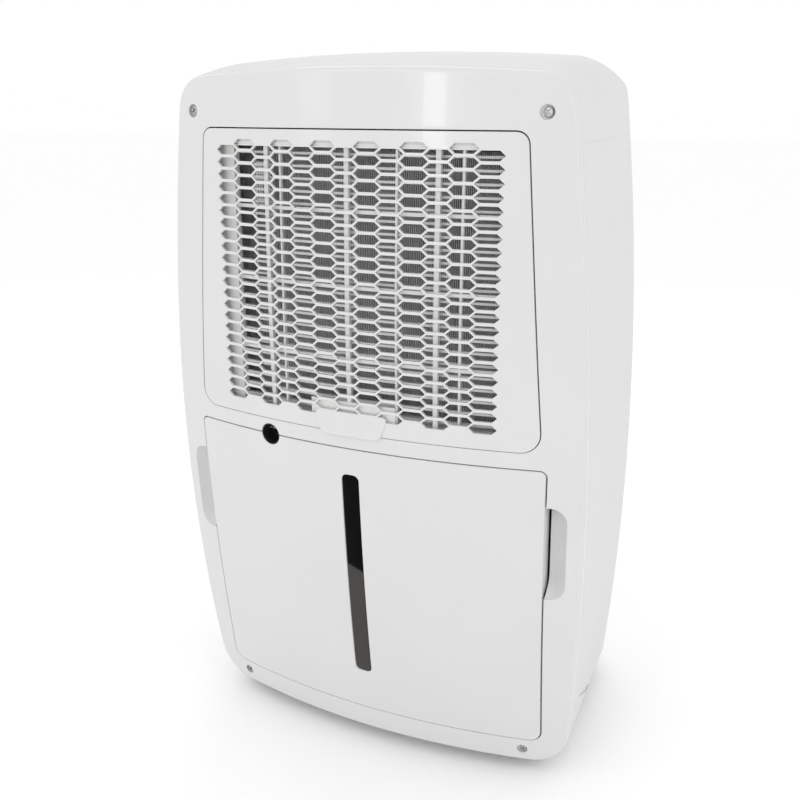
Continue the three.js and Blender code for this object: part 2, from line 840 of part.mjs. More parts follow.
// A solid drawn in the controls' own tilted frame, moved to the machine's frame.
function atControls(manifold) {
  const geometry = geometryOf(manifold);
  geometry.applyMatrix4(controlFrame().matrix);
  return solid(geometry);
}

function topCover() {
  const opening = slabOf(fasciaPlan(fitGap), -2 * overshoot, 2 * overshoot);
  const tabs = bothSides.map((side) => common(screwTab(topScrew, side), tabRoom));
  return cut(join(common(bodyShell, aboveSeam(0)), ...tabs), atControls(opening));
}

// The opening in the underside through which the casters reach the floor.
function casterWindow() {
  const swing = casterTrail + wheelRadius + casterSwingGap;
  const top = skirtHeight + 2 * shellWall + 2 * fitGap;
  const [left, right] = [-frontCaster.x - swing, frontCaster.x + swing];
  return box(left, right, frontCaster.y - swing, rearCaster.y + swing, 0, top);
}

function cabinetWrap() {
  const tabs = bothSides.map((side) => common(screwTab(bottomScrew, side), tabRoom));
  const backWall = [bodyBack - 2 * shellWall, bodyBack + overshoot];
  const exhaustHole = prism(exhaustOpening(fitGap), ...backWall);
  const bushHole = rod("y", inletBush.radius + fitGap, ...backWall, inletBush.x, inletBush.z, roundSides);
  const below = cut(bodyShell, aboveSeam(-fitGap));
  const groove = new THREE.BoxGeometry(2 * bodyHalfWidth, notch.length, notch.height);
  groove.rotateX(-Math.atan(notch.slope));
  groove.translate(bodyHalfWidth, faceFront + notch.depth, notch.z);
  const grooveSkin = cut(solid(groove), bodyBlank(notch.cut, -overshoot));
  return cut(join(below, ...tabs), casterWindow(), exhaustHole, bushHole, grooveSkin);
}

function basePan() {
  const bottom = skirtHeight + shellWall + fitGap;
  const room = (inset) => bodyBlank(shellWall + fitGap + inset, -overshoot);
  const front = bucketCollarDepth + fitGap;
  const block = common(
    room(0),
    box(-bodyHalfWidth, bodyHalfWidth, ...wideY, bottom, deckHeight),
    layer(front, wellBehind),
  );
  const underside = common(
    room(shellWall),
    box(-bodyHalfWidth, bodyHalfWidth, ...wideY, 0, deckHeight - deckWall),
    layer(front + shellWall, wellBehind),
  );
  const deckUnder = deckHeight - bite;
  const bosses = casterPlaces().map(({ x, y }) =>
    rod("z", casterBossRadius, casterBossBottom, deckUnder, x, y));
  const stems = casterPlaces().map(({ x, y }) =>
    rod("z", stemRadius + fitGap, 0, deckHeight + overshoot, x, y));
  const ribs = panRibs.map((x) => box(
    x - panRibHalfWall, x + panRibHalfWall, frontCaster.y - panRibReach, rearCaster.y + panRibReach,
    bottom, deckUnder,
  ));
  const reach = screwBossRadius + fitGap;
  const tabSpace = bothSides.map((side) => {
    const [near, far] = [side * (bottomScrew.x - reach), side * bodyHalfWidth];
    return common(
      box(Math.min(near, far), Math.max(near, far), ...wideY, 0, bottomScrew.z + reach),
      layer(-overshoot, tongueDepth + screwTabDepth + 2 * fitGap),
    );
  });
  const studTop = compressorBottom + footStudRise;
  const studs = compressorFeet().map(({ x, y }) => rod("z", footStudRadius, deckUnder, studTop, x, y));
  const pan = cut(block, underside, casterWindow());
  return cut(join(pan, ...bosses, ...ribs, ...studs), ...stems, ...tabSpace);
}

function midFrame() {
  const room = bodyBlank(shellWall + 2 * fitGap, -overshoot);
  const front = bucketRingDepth + 4 * fitGap;
  const shelf = common(
    box(-bodyHalfWidth, bodyHalfWidth, ...wideY, shelfHeight, shelfTop),
    layer(front, wellBehind),
    room,
  );
  const wall = common(
    box(-bodyHalfWidth, bodyHalfWidth, bayWallY, bayWallBack, deckHeight + fitGap, shelfTop - bite),
    room,
  );
  const throughShelf = [shelfHeight - overshoot, shelfTop + overshoot];
  const dripHole = rod("z", dripHoleRadius, ...throughShelf, 0, dripY);
  const pipeHoles = [dischargeRise, suctionRise].map(({ x, y }) =>
    rod("z", refrigerantPipeRadius + pipeHoleGap, ...throughShelf, x, y));
  const throughWall = [bayWallY - overshoot, bayWallBack + overshoot];
  const plungerHole = rod("y", plungerRadius + fitGap, ...throughWall, switchPlace.x, switchPlace.z);
  return cut(join(shelf, wall), dripHole, plungerHole, ...pipeHoles);
}

// ---------------------------------------------------------------- filter door

function hexagon(x, z) {
  const half = rowPitch / 2 - hexRib / 2;
  return [
    [-hexWidth / 2, 0], [-hexFlat / 2, -half], [hexFlat / 2, -half],
    [hexWidth / 2, 0], [hexFlat / 2, half], [-hexFlat / 2, half],
  ].map(([dx, dz]) => new THREE.Vector2(x + dx, z + dz));
}

const tabTop = tabBottom + tabHeight;
const tabOutline = roundedBox(-tabHalfWidth, tabHalfWidth, tabBottom, tabTop, tabCorner);

function filterDoor() {
  const holes = [];
  for (let column = 0; column < grilleColumns; column += 1) {
    const x = (column - (grilleColumns - 1) / 2) * columnPitch;
    const shifted = column % 2;
    for (let row = 0; row < grilleRows - shifted; row += 1) {
      const z = grilleBottom + rowPitch * (row + 0.5 + 0.5 * shifted);
      const underTab = z - rowPitch / 2 < tabTop && Math.abs(x) < tabHalfWidth + hexWidth / 2;
      if (!underTab) holes.push(new THREE.Shape(hexagon(x, z)));
    }
  }
  const punched = new THREE.ExtrudeGeometry(holes, { depth: bodyDepth, bevelEnabled: false });
  punched.rotateX(Math.PI / 2).translate(0, bodyDepth / 2, 0);
  const plate = cut(common(throughBody(doorOutline(0)), layer(0, doorWall)), solid(punched));
  const rim = common(ringOf(doorOutline(0), doorOutline(-tongueWall)), layer(doorWall / 2, doorRimDepth));
  const pad = common(throughBody(tabOutline), layer(-tabProud, -tabLift));
  const neckHalfWidth = tabHalfWidth - tabNeckInset;
  const neck = common(
    box(-neckHalfWidth, neckHalfWidth, ...wideY, doorBottom + tabLift, tabTop - tabNeckInset),
    layer(-tabLift - bite, doorWall / 2),
  );
  return join(plate, rim, pad, neck);
}

function filterScreen() {
  const edge = -tongueWall - fitGap;
  const frame = ringOf(doorOutline(edge), doorOutline(edge - screenFrameWidth));
  const within = throughBody(doorOutline(edge - screenFrameWidth / 2));
  const bars = Array.from({ length: screenBars }, (_, bar) => {
    const x = ((bar + 1) / (screenBars + 1) - 0.5) * 2 * doorTopHalfWidth;
    return box(x - screenRibWidth / 2, x + screenRibWidth / 2, ...wideY, doorBottom, doorTop);
  });
  const rails = Array.from({ length: screenRails }, (_, rail) => {
    const z = grilleBottom + ((rail + 0.5) * (grilleRows * rowPitch)) / screenRails;
    return box(-bodyHalfWidth, bodyHalfWidth, ...wideY, z - screenRibWidth / 2, z + screenRibWidth / 2);
  });
  const web = common(join(...bars, ...rails), within);
  const flange = common(frame, layer(doorWall + fitGap, doorRimDepth));
  const slats = common(web, layer(doorRimDepth - screenThickness, doorRimDepth));
  return join(flange, slats);
}

// ---------------------------------------------------------------- bucket

const tankPlan = (grow) => roundedBox(
  -tankHalfWidth - grow, tankHalfWidth + grow, faceFront - 2 * overshoot, tankBackY + grow, tankCorner,
);
const windowOutline = (grow) => roundedBox(
  -windowWidth / 2 - grow, windowWidth / 2 + grow, windowBottom - grow, windowTop + grow, windowCorner,
);

function bucketFront() {
  const plate = common(throughBody(bucketOutline(0)), layer(0, bucketFrontWall));
  const ring = common(
    ringOf(bucketOutline(-bucketRingInset), bucketOutline(-bucketRingInset - tankWall)),
    layer(bucketFrontWall / 2, bucketRingDepth),
  );
  return cut(join(plate, ring), throughBody(windowOutline(0)), outletHole);
}

function bucketWindow() {
  return common(throughBody(windowOutline(-fitGap)), layer(windowRecess, windowRecess + windowThickness));
}

function bucketTank() {
  const behindRing = layer(tankFront, wellBehind);
  const outer = common(slabOf(tankPlan(0), tankBottom, tankTop), behindRing);
  const rim = common(slabOf(tankPlan(tankRim), tankTop - tankRimHeight, tankTop), behindRing);
  const inner = common(
    slabOf(tankPlan(-tankWall), tankBottom + tankWall, tankTop + overshoot),
    layer(tankFront + tankWall, wellBehind),
  );
  return cut(join(outer, rim), inner);
}

function bucketLid() {
  const cap = common(
    slabOf(tankPlan(tankRim), lidBottom, lidBottom + lidThickness),
    layer(tankFront, wellBehind),
  );
  const lipOutset = -tankWall - fitGap;
  const lipFront = tankFront + tankWall + fitGap;
  const within = common(
    slabOf(tankPlan(lipOutset - lidLipWall), 0, lidBottom),
    layer(lipFront + lidLipWall, wellBehind),
  );
  const lip = common(
    cut(slabOf(tankPlan(lipOutset), tankTop - lidLipDepth, lidBottom + bite), within),
    layer(lipFront, wellBehind),
  );
  const drip = rod("z", lidDripRadius, 0, 2 * tankTop, 0, dripY);
  const { x, y, z } = floatPivot;
  const ears = bothSides.map((side) => {
    const earX = x + side * floatEarOffset;
    return box(
      earX - floatEarHalfWall, earX + floatEarHalfWall, y - floatEarReach, y + floatEarReach,
      z - floatEarReach, lidBottom + bite,
    );
  });
  const pivotHole = rod("x", floatPinRadius + fitGap, x - overshoot, x + overshoot, y, z);
  return cut(join(cap, lip, ...ears), drip, pivotHole);
}

function bucketFloat() {
  const { x, y, z } = floatPivot;
  const pin = rod("x", floatPinRadius, x - floatPinHalfLength, x + floatPinHalfLength, y, z);
  const arm = box(
    x - floatArm.halfWidth, x + floatArm.halfWidth, y - floatArm.front, y + floatArm.back,
    z - floatArm.halfHeight, z + floatArm.halfHeight,
  );
  const block = box(
    x - floatBlock.halfWidth, x + floatBlock.halfWidth, y + floatBlock.front, y + floatBlock.back,
    z - floatBlock.bottom, z - floatBlock.top,
  );
  return join(pin, arm, block);
}

function bucketSwitch() {
  const { x, z } = switchPlace;
  const front = bayWallBack + fitGap;
  const body = box(
    x - switchBody.halfWidth, x + switchBody.halfWidth, front, front + switchBody.depth,
    z - switchBody.halfHeight, z + switchBody.halfHeight,
  );
  return cut(body, rod("y", plungerRadius + fitGap, bayWallY, bayWallBack + switchBoreDepth, x, z));
}

function switchPlunger() {
  const { x, z } = switchPlace;
  return rod("y", plungerRadius, tankBackY + tankRim + fitGap, bayWallBack + plungerEngagement, x, z);
}

// ---------------------------------------------------------------- casters

function casterPlaces() {
  return [frontCaster, rearCaster].flatMap(({ x, y }, row) => bothSides.map((side) => ({
    name: (row === 0 ? "front_" : "rear_") + (side < 0 ? "left" : "right"), x: side * x, y,
  })));
}

function casterFork() {
  const plateBottom = casterBossBottom - fitGap - forkPlate;
  const plate = rod("z", forkPlateRadius, plateBottom, plateBottom + forkPlate, 0, 0);
  const stem = rod("z", stemRadius, plateBottom + bite, deckHeight - fitGap, 0, 0);
  const inner = wheelWidth / 2 + wheelSideGap;
  const shoulder = plateBottom + bite;
  const toe = wheelRadius - forkAxleDrop;
  const profile = roundedPolygon([
    [-forkShoulder, shoulder, 0.5], [casterTrail - forkToe + bite, toe, 2],
    [casterTrail + forkToe, toe, 2], [casterTrail + forkToe - bite, shoulder, 0.5],
  ], 1);
  const cheeks = bothSides.map((side) => {
    const options = { depth: forkCheek, bevelEnabled: false };
    const geometry = new THREE.ExtrudeGeometry(new THREE.Shape(profile), options);
    geometry.rotateX(Math.PI / 2).rotateZ(Math.PI / 2);
    geometry.translate(side * (inner + forkCheek / 2) - forkCheek / 2, 0, 0);
    return solid(geometry);
  });
  const axleHole = rod("x", axleRadius + fitGap, -overshoot, overshoot, casterTrail, wheelRadius);
  return cut(join(plate, stem, ...cheeks), axleHole);
}

// A wheel moulded with the stub axles that turn in the fork's cheeks.
function casterWheel() {
  const rim = wheelRadius / Math.cos(Math.PI / wheelSides);
  const half = wheelWidth / 2;
  const reach = half + wheelSideGap + forkCheek;
  return turned([
    [0, -reach], [axleRadius, -reach], [axleRadius, -half], [rim, -half],
    [rim, half], [axleRadius, half], [axleRadius, reach], [0, reach],
  ], wheelSides);
}

// ---------------------------------------------------------------- cooling circuit

function passHeight(pass) {
  const [lowest, highest] = [coilBottom + lowestPassRise, coilTop - highestPassDrop];
  return THREE.MathUtils.lerp(lowest, highest, pass / (coilPasses - 1));
}

function coilFins(front, thickness) {
  const block = box(-coilHalfWidth, coilHalfWidth, front, front + thickness, coilBottom, coilTop);
  const reach = coilHalfWidth + overshoot;
  const holes = Array.from({ length: coilPasses }, (_, pass) =>
    rod("x", coilHoleRadius, -reach, reach, front + thickness / 2, passHeight(pass)));
  return cut(block, ...holes);
}

// A serpentine of straight passes and return bends.
function coilPipes(front, thickness) {
  const y = front + thickness / 2;
  const bendRadius = (passHeight(1) - passHeight(0)) / 2;
  const straightEnd = coilHalfWidth + coilPipeOverhang;
  const swage = 0.1;
  const runs = Array.from({ length: coilPasses }, (_, pass) =>
    rod("x", coilPipeRadius - swage, -straightEnd, straightEnd, y, passHeight(pass), pipeSides));
  const section = pipeSection(coilPipeRadius);
  const bendSteps = 4;
  const bends = Array.from({ length: coilPasses - 1 }, (_, pass) => {
    const side = pass % 2 === 0 ? 1 : -1;
    const middle = passHeight(pass) + bendRadius;
    const points = Array.from({ length: bendSteps + 1 }, (_, step) => {
      const angle = Math.PI * (step / bendSteps - 0.5);
      const x = side * (straightEnd - bite + returnBendReach * Math.cos(angle));
      return new THREE.Vector3(x, y, middle + bendRadius * Math.sin(angle));
    });
    const path = new THREE.CatmullRomCurve3(points);
    const options = { steps: bendSteps, extrudePath: path, bevelEnabled: false };
    return solid(new THREE.ExtrudeGeometry(section, options));
  });
  return join(...runs, ...bends);
}

function dripTray() {
  const outer = box(-trayHalfWidth, trayHalfWidth, trayFront, trayBack, shelfSeat, shelfSeat + trayHeight);
  const inner = box(
    -trayHalfWidth + trayWall, trayHalfWidth - trayWall, trayFront + trayWall, trayBack - trayWall,
    trayFloor, shelfSeat + trayHeight + overshoot,
  );
  const drip = rod("z", dripHoleRadius - trayWall, shelfSeat - overshoot, trayFloor + overshoot, 0, dripY);
  const hose = rod("y", spigotBore, trayFront - overshoot, trayFront + overshoot, outletX, spigotZ);
  return cut(outer, inner, drip, hose);
}

function drainSpigot() {
  const front = faceY(outletX, outletZ) + spigotRecess;
  const back = trayFront - fitGap;
  const beadFront = front + spigotBead.start;
  const tube = rod("y", spigotRadius, front, back, outletX, spigotZ, roundSides);
  const beadRadius = spigotRadius + spigotBead.height;
  const bead = rod("y", beadRadius, beadFront, beadFront + spigotBead.width, outletX, spigotZ, roundSides);
  return cut(join(tube, bead), rod("y", spigotBore, front - overshoot, back + overshoot, outletX, spigotZ));
}

function compressorFeet() {
  return compressorFootSpots.map(([x, y]) => ({ x: compressorX + x, y: compressorY + y }));
}

function compressorBody() {
  const [x, y, radius] = [compressorX, compressorY, compressorRadius];
  const [bottom, top] = [compressorBottom, compressorTop];
  const shell = turned([
    [0, bottom], [radius * 0.7, bottom], [radius * 0.94, bottom + radius * 0.21],
    [radius, bottom + radius * 0.52], [radius, top - radius * 0.62], [radius * 0.93, top - radius * 0.26],
    [radius * 0.68, top - radius * 0.05], [0, top],
  ]).translate([x, y, 0]);
  const corners = compressorFootSpots.map(([dx, dy]) => {
    const reach = 1 + (2 * compressorFootPad) / Math.hypot(dx, dy);
    return [x + dx * reach, y + dy * reach, compressorFootPad];
  });
  const plate = slabOf(roundedPolygon(corners), footPlateBottom, bottom + bite);
  const throughPlate = [footPlateBottom - overshoot, bottom + overshoot];
  const holes = compressorFeet().map((foot) => rod("z", compressorFootHole, ...throughPlate, foot.x, foot.y));
  const terminal = box(
    x - terminalCover.halfWidth, x + terminalCover.halfWidth,
    y - radius - terminalCover.reach, y - radius + terminalCover.root,
    bottom + terminalCover.bottom, bottom + terminalCover.top,
  );
  const shoulder = bottleRadius * 0.7;
  const bottle = turned([
    [0, bottleBottom], [bottleRadius * 0.6, bottleBottom], [bottleRadius, bottleBottom + shoulder],
    [bottleRadius, bottleTop - shoulder], [bottleRadius * 0.6, bottleTop], [0, bottleTop],
  ], smallSides).translate([bottleX, y, 0]);
  const elbowZ = bottleBottom - bottleElbowDrop;
  const elbow = pipe([
    [bottleX, y, bottleBottom + bottleElbowRadius], [bottleX, y, elbowZ],
    [x - radius + bottleElbowBite, y, elbowZ],
  ], bottleElbowRadius, bottleElbowBend);
  const strapZ = (bottleBottom + bottleTop) / 2;
  const strap = box(
    bottleX + bottleRadius - strapBite, x - radius + strapBite, y - strapHalfWidth, y + strapHalfWidth,
    strapZ - strapHalfHeight, strapZ + strapHalfHeight,
  );
  return cut(join(shell, plate, terminal, bottle, elbow, strap), ...holes);
}

function footGrommet() {
  const bottom = deckHeight + fitGap;
  const bore = footStudRadius + fitGap;
  const neckBottom = footPlateBottom - fitGap;
  const top = compressorBottom + grommetLip;
  return turned([
    [bore, bottom], [grommetRadius, bottom], [grommetRadius, neckBottom], [grommetNeckRadius, neckBottom],
    [grommetNeckRadius, top], [bore, top], [bore, bottom],
  ], smallSides);
}

function footNut() {
  const bottom = compressorBottom + grommetLip + fitGap;
  const nut = rod("z", footNutRadius, bottom, bottom + footNutHeight, 0, 0, 6);
  return cut(nut, rod("z", footStudRadius + fitGap, bottom - overshoot, bottom + overshoot, 0, 0));
}

// Discharge line: from the compressor's crown, up through the shelf, to the condenser's lowest pass.
function dischargePipe() {
  const overhead = compressorTop + pipeOverhead;
  const { x: riseX, y: riseY } = dischargeRise;
  const pipeY = condenserFront + condenserThickness / 2;
  const pipeZ = passHeight(0);
  return pipe([
    [compressorX, compressorY, compressorTop + fitGap], [compressorX, compressorY, overhead],
    [riseX, riseY, overhead], [riseX, riseY, pipeZ], [riseX - dischargeEndBend, pipeY, pipeZ],
    [coilEndX, pipeY, pipeZ],
  ], refrigerantPipeRadius, dischargeBend);
}

// Suction line: from the evaporator's top pass, down through the shelf, into the bottle.
function suctionPipe() {
  const overhead = bottleTop + pipeOverhead;
  const { x: riseX, y: riseY } = suctionRise;
  const pipeY = evaporatorFront + evaporatorThickness / 2;
  const pipeZ = passHeight(coilPasses - 1);
  return pipe([
    [bottleX, compressorY, bottleTop + fitGap], [bottleX, compressorY, overhead], [riseX, riseY, overhead],
    [riseX, riseY, pipeZ], [riseX, pipeY, pipeZ], [coilEndX, pipeY, pipeZ],
  ], refrigerantPipeRadius, suctionBend);
}

// Capillary: from the condenser's top pass to the evaporator's lowest pass.
function capillaryTube() {
  const [fromY, toY] = [condenserFront + condenserThickness / 2, evaporatorFront + evaporatorThickness / 2];
  const [fromZ, toZ] = [passHeight(coilPasses - 1), passHeight(0)];
  const between = (fromY + toY) / 2;
  const outside = coilEndX - capillaryLoopReach;
  return pipe([
    [coilEndX, fromY, fromZ], [outside, fromY, fromZ], [outside, between, fromZ - capillaryLoopReach],
    [outside, between, toZ + capillaryLoopReach], [outside, toY, toZ], [coilEndX, toY, toZ],
  ], capillaryRadius, capillaryBend);
}

// ---------------------------------------------------------------- fan

function fanDuct() {
  const outer = box(-ductHalfWidth, ductHalfWidth, ductFront, ductBack, shelfSeat, ductTop);
  const inner = box(
    -ductHalfWidth + ductWall, ductHalfWidth - ductWall, ductFront + ductWall, ductBack + overshoot,
    shelfSeat + ductWall, ductTop - ductWall,
  );
  const inlet = rod("y", inletRadius, ductFront - overshoot, ductFront + overshoot, 0, fanZ, fanSides);
  return cut(outer, inner, inlet);
}

// One backward-curved blade of the fan, from its root at the inlet's edge to its tip at the rim.
function fanBlade(turn) {
  const root = inletRadius - fanBladeWall * 4;
  const knee = fanRadius - fanBladeWall * 6;
  const tip = fanRadius - fanBladeWall;
  const [kneeDrop, tipDrop] = [9, 20];
  const profile = [
    [root, 0], [root, -fanBladeWall], [knee - fanBladeWall, -kneeDrop - fanBladeWall],
    [tip - 2 * fanBladeWall, -tipDrop - fanBladeWall], [tip, -tipDrop], [knee, -kneeDrop],
  ].map(([x, z]) => new THREE.Vector2(x, z));
  const geometry = new THREE.ExtrudeGeometry(new THREE.Shape(profile), {
    depth: fanWidth - 2 * bite, bevelEnabled: false,
  });
  geometry.rotateX(Math.PI / 2).translate(0, fanWidth - bite, 0).rotateY(turn);
  return solid(geometry);
}

function fanWheel() {
  const disc = rod("y", fanRadius, fanWidth - fanPlateWall, fanWidth, 0, 0, fanSides);
  const hub = rod("y", fanHubRadius, fanWidth - fanHubLength, fanWidth - bite, 0, 0, smallSides);
  const ring = rod("y", fanRadius, 0, fanPlateWall, 0, 0, fanSides);
  const mouth = rod("y", inletRadius + fanBladeWall, -overshoot, overshoot, 0, 0, fanSides);
  const blades = Array.from({ length: fanBlades }, (_, blade) => fanBlade((2 * Math.PI * blade) / fanBlades));
  const bore = rod("y", fanShaftRadius + fitGap, -overshoot, fanWidth + overshoot, 0, 0);
  return cut(join(disc, hub, cut(ring, mouth), ...blades), bore);
}

function fanMotor() {
  const noseEnd = motorFront + bite;
  const can = rod("y", motorRadius, motorFront, motorBackY, 0, fanZ, roundSides);
  const nose = rod("y", motorNose.radius, motorFront - motorNose.length, noseEnd, 0, fanZ);
  const shaft = rod("y", fanShaftRadius, fanFront + fanShaftStart, noseEnd, 0, fanZ);
  return join(can, nose, shaft);
}

function fanNut() {
  const hubFront = fanFront + fanWidth - fanHubLength;
  const nut = rod("y", fanNutRadius, hubFront - fanNutHeight, hubFront - fitGap, 0, fanZ, 6);
  return cut(nut, rod("y", fanShaftRadius + fitGap, hubFront - overshoot, hubFront + overshoot, 0, fanZ));
}

// A bar across the duct that the motor is bolted to.
function motorBracket() {
  const front = motorBackY + fitGap;
  const bottom = shelfSeat + ductWall + fitGap;
  const top = ductTop - ductWall - fitGap;
  const bar = box(-bracketHalfWidth, bracketHalfWidth, front, front + bracketWall, bottom, top);
  const lips = [[bottom, bottom + bracketWall], [top - bracketWall, top]].map(([z0, z1]) =>
    box(-bracketHalfWidth, bracketHalfWidth, front, front + bracketLip, z0, z1));
  return join(bar, ...lips);
}

// ---------------------------------------------------------------- back, electrical pieces

function exhaustGrille() {
  const inside = bodyBack - exhaustThickness;
  const outside = bodyBack - backRecess;
  const outer = exhaustOpening(0);
  const inner = exhaustOpening(-exhaustFrame);
  const frame = cut(prism(outer, inside, outside), prism(inner, inside - overshoot, outside + overshoot));
  const slats = Array.from({ length: exhaustSlats }, (_, slat) => {
    const z = exhaustBottom + ((slat + 1) * exhaustHeight) / (exhaustSlats + 1);
    const length = 2 * exhaustHalfWidth - exhaustFrame;
    const geometry = new THREE.BoxGeometry(length, exhaustSlatWall, exhaustSlatDepth);
    geometry.rotateX(-exhaustSlatTilt).translate(0, (inside + outside) / 2, z);
    return common(solid(geometry), prism(outer, inside, outside));
  });
  const post = box(
    -exhaustPostHalfWidth, exhaustPostHalfWidth, inside + bite / 2, outside - bite / 2,
    exhaustBottom + bite, exhaustTop - bite,
  );
  return join(frame, post, ...slats);
}

function cordInlet() {
  const outside = bodyBack - backRecess;
  const flangeFront = bodyBack - shellWall - fitGap;
  const flangeBack = flangeFront - inletBush.flange;
  const { radius, bore, flange } = inletBush;
  return turned([
    [bore, -outside], [radius, -outside], [radius, -flangeFront], [radius + flange, -flangeFront],
    [radius + flange, -flangeBack], [bore, -flangeBack], [bore, -outside],
  ]).rotate([90, 0, 0]).translate([inletBush.x, 0, inletBush.z]);
}

function electricHousing() {
  const { fromSide, pastDuct, behindDuctFront, depth, height } = electricBox;
  const [left, right] = [ductHalfWidth + pastDuct, bodyHalfWidth - fromSide];
  const front = ductFront + behindDuctFront;
  return box(left, right, front, front + depth, shelfSeat, shelfSeat + height);
}

function runCapacitor() {
  const bottom = deckHeight + fitGap;
  const { fromSide, fromBack, radius, height, bevel } = capacitor;
  const x = fromSide - bodyHalfWidth;
  return turned([
    [0, bottom], [radius, bottom], [radius, bottom + height - bevel], [radius - bevel, bottom + height],
    [0, bottom + height],
  ]).translate([x, bodyBack - fromBack, 0]);
}

// ---------------------------------------------------------------- controls, drawn in their own tilted frame

function displayPlan(grow) {
  return roundedBox(
    displayX - displayWidth / 2 - grow, displayX + displayWidth / 2 + grow,
    -displayLength / 2 - grow, displayLength / 2 + grow, displayCorner,
  );
}

function controlFascia() {
  const plate = slabOf(fasciaPlan(0), fasciaBottom, fasciaTop);
  const flange = slabOf(fasciaPlan(controlFlange), fasciaBottom, fasciaBottom + controlFlangeWall);
  const { radius, x: postX, y: postY } = controlPost;
  const posts = bothSides.flatMap((side) => bothSides.map((end) =>
    rod("z", radius, boardTop + fitGap, fasciaBottom + bite, side * postX, end * postY)));
  const holes = buttonPlaces.map((x) =>
    rod("z", buttonRadius + 2 * fitGap, fasciaBottom - overshoot, overshoot, x, 0, buttonSides));
  const display = slabOf(displayPlan(fitGap), fasciaTop - displayDepth, overshoot);
  return cut(join(plate, flange, ...posts), ...holes, display);
}

function displayLens() {
  return slabOf(displayPlan(0), fasciaTop - displayDepth + fitGap, fasciaTop);
}

function controlButton() {
  const top = fasciaTop + buttonProud;
  const flangeTop = fasciaBottom - fitGap;
  const flangeBottom = flangeTop - buttonFlangeWall;
  const flangeRadius = buttonRadius + buttonFlange;
  return turned([
    [0, flangeBottom], [flangeRadius, flangeBottom], [flangeRadius, flangeTop], [buttonRadius, flangeTop],
    [buttonRadius, top - buttonBevel], [buttonRadius - buttonBevel, top], [0, top],
  ], buttonSides);
}

function controlBoard() {
  const halfLength = controlLength / 2 - boardMargin;
  const board = box(
    -controlWidth / 2, controlWidth / 2, -halfLength, halfLength, boardTop - boardThickness, boardTop,
  );
  const switchTop = fasciaBottom - fitGap - buttonFlangeWall - buttonTravel - fitGap / 2;
  const half = boardSwitchHalf;
  const switchBottom = boardTop - bite / 2;
  const switches = buttonPlaces.map((x) => box(x - half, x + half, -half, half, switchBottom, switchTop));
  return join(board, ...switches);
}

// ---------------------------------------------------------------- screws

function panelScrew({ headRadius }) {
  const seat = -screwWellDepth + fitGap;
  const crown = seat + screwHeadHeight;
  const edge = crown - screwHeadHeight / 2;
  const point = -tongueDepth - screwTabDepth;
  const blank = turned([
    [0, point], [screwShankRadius, point + bite], [screwShankRadius, seat], [headRadius, seat],
    [headRadius, edge], [headRadius * 0.75, crown], [0, crown],
  ], smallSides);
  const [slotHalfLength, slotHalfWidth] = [headRadius * 0.55, 0.5];
  const slots = [[slotHalfLength, slotHalfWidth], [slotHalfWidth, slotHalfLength]].map(([across, along]) =>
    box(-across, across, -along, along, edge, overshoot));
  return cut(blank, ...slots).rotate([90, 0, 0]);
}

// ---------------------------------------------------------------- assembly

const finishes = {
  whitePlastic: { color: 0xe9e9e7, roughness: 0.28, metalness: 0 },
  screenPlastic: { color: 0xf0f0ee, roughness: 0.5, metalness: 0 },
  innerPlastic: { color: 0xb9bbbc, roughness: 0.6, metalness: 0 },
  clearPlastic: { color: 0x24272a, roughness: 0.15, metalness: 0 },
  darkPlastic: { color: 0x1b1c1d, roughness: 0.5, metalness: 0 },
  foam: { color: 0xdad8cf, roughness: 0.9, metalness: 0 },
  rubber: { color: 0x222222, roughness: 0.9, metalness: 0 },
  steel: { color: 0xa9acae, roughness: 0.35, metalness: 1 },
  blackEnamel: { color: 0x141414, roughness: 0.4, metalness: 0.2 },
  aluminium: { color: 0x9a9da0, roughness: 0.4, metalness: 1 },
  copper: { color: 0xb06a44, roughness: 0.35, metalness: 1 },
  board: { color: 0x2c5c3a, roughness: 0.6, metalness: 0 },
};

const machine = new THREE.Group();

function place(name, manifold, finish, parent = machine, position = [0, 0, 0]) {
  const mesh = new THREE.Mesh(geometryOf(manifold), new THREE.MeshStandardMaterial(finishes[finish]));
  mesh.name = name;
  mesh.position.set(...position);
  parent.add(mesh);
  return mesh;
}

place("front_panel", frontPanel(), "whitePlastic");
place("bucket_surround", bucketSurround(), "whitePlastic");
place("cabinet_wrap", cabinetWrap(), "whitePlastic");
place("top_cover", topCover(), "whitePlastic");
place("base_pan", basePan(), "innerPlastic");
place("mid_frame", midFrame(), "innerPlastic");

place("filter_door", filterDoor(), "whitePlastic");
place("filter_screen", filterScreen(), "screenPlastic");

place("bucket_front", bucketFront(), "whitePlastic");
place("bucket_window", bucketWindow(), "clearPlastic");
place("bucket_tank", bucketTank(), "innerPlastic");
place("bucket_lid", bucketLid(), "innerPlastic");
place("bucket_float", bucketFloat(), "foam");
place("bucket_switch", bucketSwitch(), "darkPlastic");
place("switch_plunger", switchPlunger(), "darkPlastic");

place("evaporator_fins", coilFins(evaporatorFront, evaporatorThickness), "aluminium");
place("evaporator_pipes", coilPipes(evaporatorFront, evaporatorThickness), "copper");
place("condenser_fins", coilFins(condenserFront, condenserThickness), "aluminium");
place("condenser_pipes", coilPipes(condenserFront, condenserThickness), "copper");
place("drip_tray", dripTray(), "innerPlastic");
place("drain_spigot", drainSpigot(), "darkPlastic");
place("compressor", compressorBody(), "blackEnamel");
place("discharge_pipe", dischargePipe(), "copper");
place("suction_pipe", suctionPipe(), "copper");
place("capillary_tube", capillaryTube(), "copper");
compressorFeet().forEach(({ x, y }, foot) => {
  const mounting = new THREE.Group();
  mounting.position.set(x, y, 0);
  machine.add(mounting);
  place(`foot_grommet_${foot + 1}`, footGrommet(), "rubber", mounting);
  place(`foot_nut_${foot + 1}`, footNut(), "steel", mounting);
});

